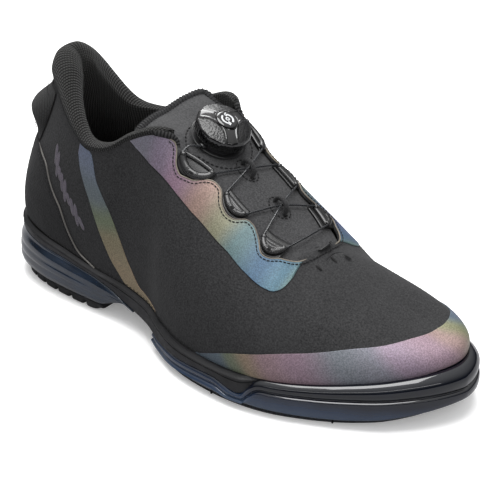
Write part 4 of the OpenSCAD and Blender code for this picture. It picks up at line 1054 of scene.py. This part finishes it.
# ---------------------------------------------------------------- guides and lace
GU = [[7.9, 8.75], [9.5, 10.1], [10.85, 11.45]]
GE = [[7.84, 8.83], [9.47, 10.1], [10.82, 11.42]]
GV = [.945, .918, .905]
for s, nm in ((-1, "lateral"), (1, "medial")):
    b = bag(); bt = bag(); bl = bag()
    for gi, g in enumerate(GE):
        w = g[1] - g[0]; t = np.linspace(0, 1, 41); us = g[0] + w * t
        arch = np.sin(PI * t); em = float(edge(np.array([(g[0] + g[1]) / 2]))[0])
        deep = em + (.036 if gi == 0 else .05)
        vs = GV[gi] - (GV[gi] - deep) * arch ** (.55 if gi == 0 else .7)
        P, N = along(s, us, vs, .25)
        rr = (2.35 if gi == 0 else 1.9) * (.72 + .28 * arch ** .5)
        T_ = frames_along(P)
        # flattened moulded bar following the scallop
        sweep("", P, rr, N=N, k=20, squash=.72, parts=b)
        # straight inner bar
        vi = np.full(21, GV[gi] + (.012 if gi == 0 else -.006)); ui = np.linspace(g[0] + .02 * w, g[1] - .02 * w, 21)
        PI_, NI = along(s, ui, vi, -.35)
        sweep("", PI_, 1.3 if gi == 0 else 2.0, N=NI, k=14, squash=.7, parts=b)
        if gi:
            vm = vs[4:37] * .5 + .5 * GV[gi]; PM, NM = along(s, us[4:37], vm, -.1)
            sweep("", PM, 1.7, N=NM, k=14, squash=.75, parts=b)
        # web that fills the crescent, or the floor of the open window
        uu = np.linspace(g[0] - .1 * w, g[1] + .1 * w, 25); lo_ = edge(uu) + .004; hi_ = np.full(25, .965)
        hi_ = np.maximum(hi_, lo_ + .01); vv = lo_[:, None] + (hi_ - lo_)[:, None] * np.linspace(0, 1, 9)[None]
        PW, NW = surf(s, uu, vv); PW = PW - NW * .9
        o_ = len((bl)["v"]); bl["v"].extend(PW.reshape(-1, 3).tolist()); bl["a"].extend(np.zeros((PW.size // 3, 3)).tolist()); bl["f"] += quads(25, 9, o=o_, flip=orient(PW, NW))
        # relief slot on the crown with side ribs
        c = np.arange(16, 25)
        sweep("", P[c] + N[c] * (rr[c, None] * .62), .85 * np.sqrt(np.clip(1 - np.linspace(-1, 1, 9) ** 4, .05, 1)), N=N[c], k=10, squash=.42, parts=bt)
        for ce in (12, 14, 26, 28):
            cc = unit(np.cross(T_[ce], N[ce])[None])[0]
            sweep("", P[ce] + N[ce] * rr[ce] * .62 + cc * np.linspace(-1.15, 1.15, 7)[:, None], .3, N=np.tile(N[ce], (7, 1)), k=8, parts=b)
        # sockets at both ends where the lace comes out
        for ce, sg in ((0, -1), (40, 1)):
            dd = T_[ce] * sg
            sweep("", P[ce] + dd * np.array([-1.3, -.6, .5, .9])[:, None], rr[ce] * np.array([.9, 1.16, 1.14, .85]), N=np.tile(N[ce], (4, 1)), k=16, squash=.85, parts=b)
            sweep("", P[ce] + dd * np.array([.6, .98])[:, None], .72, N=np.tile(N[ce], (2, 1)), k=12, parts=bt)
    close_bag("guides_" + nm, b, sharp=50, mat=M_GUIDE, rep=["lace_guides_" + nm], slot="guide_plastic")
    close_bag("guide_slots_" + nm, bt, mat=M_SLIT, slot="guide_plastic")
    close_bag("guide_webs_" + nm, bl, mat=M_CUP, slot="guide_plastic", fix=False, solid=.8)


def gp(s, i, e):
    g = GE[i]; w = g[1] - g[0]
    return pt(s, g[0] - .06 * w if e < 0 else g[1] + .06 * w, GV[i] + .006, .35)[0][0]


def strand():
    m = Mat("lace_strand"); s = m.sep(m.at)
    tw = m.math("SINE", m.math("ADD", m.math("MULTIPLY", s[0], 5.), m.math("MULTIPLY", s[1], 2 * PI * 3)))
    # painted shade: the colour follows the twist, darker in the grooves between the strands
    c = m.mix(m.range(tw, -1, 1), srgb(10, 10, 11), srgb(58, 60, 64))
    m.bump(tw, .6, .0003)
    m.set(Base_Color=c, Roughness=.3, Metallic=.25, Normal=m.last)
    m.b.inputs["Coat Weight"].default_value = .5
    return m.m


M_LACE = strand()
up31 = np.array([math.sin(math.radians(31)), 0, math.cos(math.radians(31))])
L0 = [LOOPS[0] + up31 * .75, LOOPS[0] + up31 * 2.0]; L1 = [LOOPS[1] + up31 * .75, LOOPS[1] + up31 * 2.0]


def curve3(pts, bow, n=26):
    """Smooth line through the points."""
    pts = np.array(pts, float)[None]
    P = crsm(pts, n)[0] if pts.shape[1] > 2 else pts[0, 0] + (pts[0, 1] - pts[0, 0]) * np.linspace(0, 1, n)[:, None]
    return P


runs = [(gp(-1, 0, 1), L0[0], gp(1, 1, -1)), (gp(1, 0, 1), L0[1], gp(-1, 1, -1)), (gp(-1, 1, 1), L1[0], gp(1, 2, -1)), (gp(1, 1, 1), L1[1], gp(-1, 2, -1)),
        (gp(-1, 2, 1), (gp(-1, 2, 1) + gp(1, 2, 1)) / 2 + np.array([2.2, 0, 1.6]), gp(1, 2, 1))]
first = True
for i, r in enumerate(runs):
    P = curve3(r, 0)
    arch = np.sin(np.linspace(0, PI, len(P)))
    lift = np.array([drop(p[0], p[1])[0][2] + .75 - p[2] if drop(p[0], p[1])[0] is not None and abs(p[1]) < 17 else -9 for p in P])
    P[:, 2] += np.maximum(lift, 0)
    for _ in range(3):
        P[1:-1] = .5 * P[1:-1] + .25 * (P[:-2] + P[2:])
    j = int(np.argmin(abs(P[:, 1])))
    for part, seg in (("a", P[:j + 1]), ("b", P[j:])):
        s = -1 if seg[:, 1].mean() < 0 else 1
        o = sweep("lace_%d%s" % (i, part), seg, .55, k=8, body=None, mat=M_LACE, slot="steel_lace", rep=(["lace"] if first else []), merge=0)
        first = False
        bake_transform(o)
for s in (-1, 1):
    D = DC + AX * 3.0 + DY * s * 14.6 + DX * 1.5
    E_ = gp(s, 0, -1)
    P = curve3((D, (D + E_) / 2 + np.array([-1.2, s * .8, 1.6]), E_), 0)
    o = sweep("lace_dial_" + ("l" if s < 0 else "m"), P, .55, k=8, body=None, mat=M_LACE, slot="steel_lace", merge=0)
    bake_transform(o)

# ---------------------------------------------------------------- dial
kb, kh, rk, ks = 4.8, 9.5, 14.5, 1.06


def ondial(x, y, z):
    return DC + x[..., None] * DX + y[..., None] * DY + z[..., None] * AX


def knob():
    nt_, th = 288, np.arange(288) / 288 * 2 * PI
    rad = np.concatenate([np.linspace(0, 13.3, 44)[1:]])
    fac = lambda a: (np.cos(PI / 14) / np.cos(np.mod(a, 2 * PI / 14) - PI / 14)) ** .8
    def height(r, a):
        z = kb + kh + .55 - 3.4 * (r / rk) ** 2.6
        patch = np.zeros_like(r)
        for k in range(3):
            c = 2 * PI * k / 3 + .55
            d = np.hypot(r * np.cos(a) - 19.5 * math.cos(c), r * np.sin(a) - 19.5 * math.sin(c))
            e = 13.6 - d
            patch = np.maximum(patch, sm(e / .5))
            z = z - .7 * sm(e / .7) + .4 * np.exp(-((e + .3) / .4) ** 2)
        g = patch * sm((13.1 - r) / .6)
        z = z + .06 * g * np.sin(a * 40 + r * 2.1) * np.sin(r * 3.9)
        z = np.where(r < 6.3, kb + kh + .5 - .3 * sm((6.3 - r) / .4), z)
        return z, patch
    R, A_ = np.meshgrid(rad, th, indexing="ij")
    z, pa = height(R, A_)
    f = fac(A_)
    X = ks * R * (1 + (f - 1) * (R / rk) ** 2)
    rows = [ondial(X * np.cos(A_), X * np.sin(A_), z)]
    att = [np.stack([R, A_, pa], -1)]
    for rr, zz in ((13.9, kb + kh * .70), (14.3, kb + kh * .64), (14.5, kb + kh * .55), (14.5, kb + kh * .42), (14.3, kb + kh * .3), (14.15, kb + 1.4), (13.9, kb + .4), (13.5, kb), (12.4, kb), (12.2, kb + 3)):
        q = ks * (rr * fac(th) if rr > 13 else np.full_like(th, rr))
        notch = 1 - .018 * (np.mod(th * 42 / (2 * PI), 1) < .35) * (zz < kb + kh * .5)
        rows.append(ondial(q * notch * np.cos(th), q * notch * np.sin(th), np.full_like(th, zz))[None])
        att.append(np.stack([np.full_like(th, rr), th, np.zeros_like(th)], -1)[None])
    G_ = np.concatenate(rows); AA = np.concatenate(att)
    n = G_.shape[0]
    F = quads(n, nt_, ring=True) + [tuple(range(nt_))[::-1]]
    m = Mat("dial_knob"); p = m.sep(m.at)[2]
    c = m.mix(p, srgb(6, 6, 7), srgb(18, 18, 19))
    tex = m.voro(900)
    m.bump(m.math("MULTIPLY", tex, p), .6, .0004)
    m.bump(m.noise(60, 2), .03, .0003, m.last)
    sc = m.noise(300, 4, .7)
    m.set(Base_Color=c, Roughness=m.math("ADD", m.range(p, 0, 1, .08, .3), m.range(sc, .45, .8, 0, .12)), Normal=m.last)
    m.b.inputs["Specular IOR Level"].default_value = .6
    m.put(m.b.inputs["Coat Weight"], m.range(p, 0, 1, .8, .1)); m.b.inputs["Coat Roughness"].default_value = .05
    make("knob", G_.reshape(-1, 3), F, AA.reshape(-1, 3), sharp=32, merge=0, fix=True, mat=m.m, body="dial", rep=["dial_knob", "dial_grip"], slot="dial_gloss")


knob()
th = np.arange(96) / 96 * 2 * PI
prof = [(0.02, .45), (3, .48), (4.8, .4), (5.5, .25), (5.8, .02), (5.85, -.3), (5.6, -.6)]
G_ = np.stack([ondial(r * np.cos(th), r * np.sin(th), np.full_like(th, kb + kh + .75 + z)) for r, z in prof])
make("medallion", G_.reshape(-1, 3), quads(len(prof), 96, ring=True) + [tuple(range(96))[::-1]], np.zeros((G_.size // 3, 3)), sharp=40, merge=0, mat=M_GLOSS, body="dial", rep=["dial_cap"], slot="dial_gloss")
b = bag()
for k in range(2):
    a = np.linspace(.35, PI - .45, 22) + k * PI
    sweep("", ondial(3.1 * np.cos(a), 3.1 * np.sin(a), np.full_like(a, kb + kh + 1.24)), .5, N=np.tile(AX, (22, 1)), k=8, squash=.4, parts=b)
    e = a[-1]; t = np.array([math.cos(e + PI / 2), math.sin(e + PI / 2)]); c = 3.1 * np.array([math.cos(e), math.sin(e)])
    for sd in (-1, 1):
        n_ = np.array([math.cos(e), math.sin(e)]) * sd
        q = np.array([c + t * .9, c + n_ * 1.2 - t * .2])
        sweep("", ondial(q[:, 0], q[:, 1], np.full(2, kb + kh + 1.24)), .32, N=np.tile(AX, (2, 1)), k=8, squash=.4, parts=b)
a = np.arange(40) / 40 * 2 * PI
sweep("", ondial(.9 * np.cos(a), .9 * np.sin(a), np.full_like(a, kb + kh + 1.26)), .32, N=np.tile(AX, (40, 1)), k=8, squash=.4, closed=True, parts=b)
close_bag("dial_turn_mark", b, body="dial", mat=M_MARK, slot="dial_gloss")
# cup under the knob: a slim flange, a groove and the lace outlets' lips
a = np.arange(144) / 144 * 2 * PI
prof = [(10.6, 1.2), (12.6, 1.0), (14.4, .95), (15.0, 1.15), (15.1, 1.6), (14.7, 1.95), (13.6, 2.05), (12.7, 2.2), (12.5, 3.2), (12.45, 5.2), (12.4, 7.2), (11.3, 7.3), (11.1, 6.8), (11.1, 2.5), (10.6, 2.4)]
G_ = np.stack([ondial(r * np.cos(a), r * np.sin(a), np.full_like(a, z)) for r, z in prof])
AA = np.zeros(G_.shape)
nG = len(prof)
F = [(i * 144 + j, i * 144 + (j + 1) % 144, ((i + 1) % nG) * 144 + (j + 1) % 144, ((i + 1) % nG) * 144 + j) for i in range(nG) for j in range(144)]
make("dial_cup", G_.reshape(-1, 3), F, AA.reshape(-1, 3), sharp=35, merge=0, mat=M_CUP, body="tongue", rep=["dial_base"], slot="dial_plastic")
b = bag()
for s in (-1, 1):
    sweep("", DC + AX * 2.9 + DX * 1.5 + DY * s * np.array([12.2, 13.4, 14.9, 15.3])[:, None], np.array([1.7, 1.75, 1.6, 1.2]), N=np.tile(AX, (4, 1)), k=14, squash=.75, parts=b)
close_bag("lace_outlets", b, body="tongue", sharp=40, mat=M_GUIDE, slot="dial_plastic")

# ---------------------------------------------------------------- bodies, stage, light, camera
for nm, (o, body) in PIECES.items():
    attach(o, body)

import bpy as _b
me = bpy.data.meshes.new("floor"); me.from_pydata([(-3, -3, -.0006), (3, -3, -.0006), (3, 3, -.0006), (-3, 3, -.0006)], [], [(0, 1, 2, 3)])
fl = bpy.data.objects.new("floor", me); bpy.context.scene.collection.objects.link(fl)
m = Mat("floor"); m.set(Base_Color=m.mix(m.noise(4, 2), (.9, .9, .9, 1), (.93, .93, .93, 1)), Roughness=.8)
m.b.inputs["Specular IOR Level"].default_value = 0.
lp = m.n("LightPath"); dim = m.n("BsdfDiffuse"); dim.inputs[0].default_value = (.3, .3, .31, 1)
em = m.n("Emission"); em.inputs[1].default_value = .22
add = m.n("AddShader"); m.l(m.b.outputs[0], add.inputs[0]); m.l(em.outputs[0], add.inputs[1])
mx_ = m.n("MixShader"); m.l(lp.outputs["Is Camera Ray"], mx_.inputs[0]); m.l(dim.outputs[0], mx_.inputs[1]); m.l(add.outputs[0], mx_.inputs[2]); m.l(mx_.outputs[0], m.out.inputs[0])
me.materials.append(m.m)

w = bpy.data.worlds.new("studio"); bpy.context.scene.world = w; w.use_nodes = True
nt = w.node_tree; bg = nt.nodes["Background"]; tc = nt.nodes.new("ShaderNodeTexCoord"); sx = nt.nodes.new("ShaderNodeSeparateXYZ"); nt.links.new(tc.outputs["Generated"], sx.inputs[0])
rp = nt.nodes.new("ShaderNodeValToRGB"); nt.links.new(sx.outputs[2], rp.inputs[0])
rp.color_ramp.elements[0].position = .1; rp.color_ramp.elements[0].color = (.035, .035, .038, 1)
rp.color_ramp.elements[1].position = 1; rp.color_ramp.elements[1].color = (1, 1, 1, 1)
lpw = nt.nodes.new("ShaderNodeLightPath"); mw = nt.nodes.new("ShaderNodeMix"); mw.data_type = "RGBA"
nt.links.new(lpw.outputs["Is Camera Ray"], mw.inputs[0]); nt.links.new(rp.outputs[0], mw.inputs[6]); mw.inputs[7].default_value = (1, 1, 1, 1)
nt.links.new(mw.outputs[2], bg.inputs[0]); bg.inputs[1].default_value = 1.0


def area(name, loc, size, energy, target=(.11, 0, .05), col=(1, 1, 1), sy=None):
    l = bpy.data.lights.new(name, "AREA"); l.energy = energy; l.size = size; l.color = col
    if sy:
        l.shape = "RECTANGLE"; l.size_y = sy
    o = bpy.data.objects.new(name, l); bpy.context.scene.collection.objects.link(o)
    o.location = loc; o.rotation_euler = (Vector(target) - Vector(loc)).to_track_quat("-Z", "Y").to_euler()
    return o


area("top", (.15, -.05, 1.1), .8, 12)
area("front", (1.1, -.55, .75), .5, 4, sy=.9).visible_glossy = False
area("back", (-.5, .55, .8), .6, 6)
area("side", (-.25, -.95, .5), .5, .5).visible_glossy = False
area("line", (.95, -.95, .62), 2.6, 2.2, sy=.07)

az, el, roll = math.radians(41.08), math.radians(27.27), math.radians(-.15)
back = Vector((math.sin(az) * math.cos(el), -math.cos(az) * math.cos(el), math.sin(el)))
right = Vector((math.cos(az), math.sin(az), 0)); up = back.cross(right)
cam = bpy.data.cameras.new("cam"); cam.lens = 117.1; cam.sensor_width = 36
co = bpy.data.objects.new("cam", cam); bpy.context.scene.collection.objects.link(co)
from mathutils import Matrix
r2 = right * math.cos(roll) + up * math.sin(roll); u2 = up * math.cos(roll) - right * math.sin(roll)
mx = Matrix((r2, u2, back)).transposed().to_4x4()
mx.translation = (Vector((110, 0, 45)) + right * 11.7 + up * 2.6 + back * 875) / 1000
co.matrix_world = mx
bpy.context.scene.camera = co
try:
    bpy.context.scene.view_settings.view_transform = "Standard"
except TypeError:
    pass
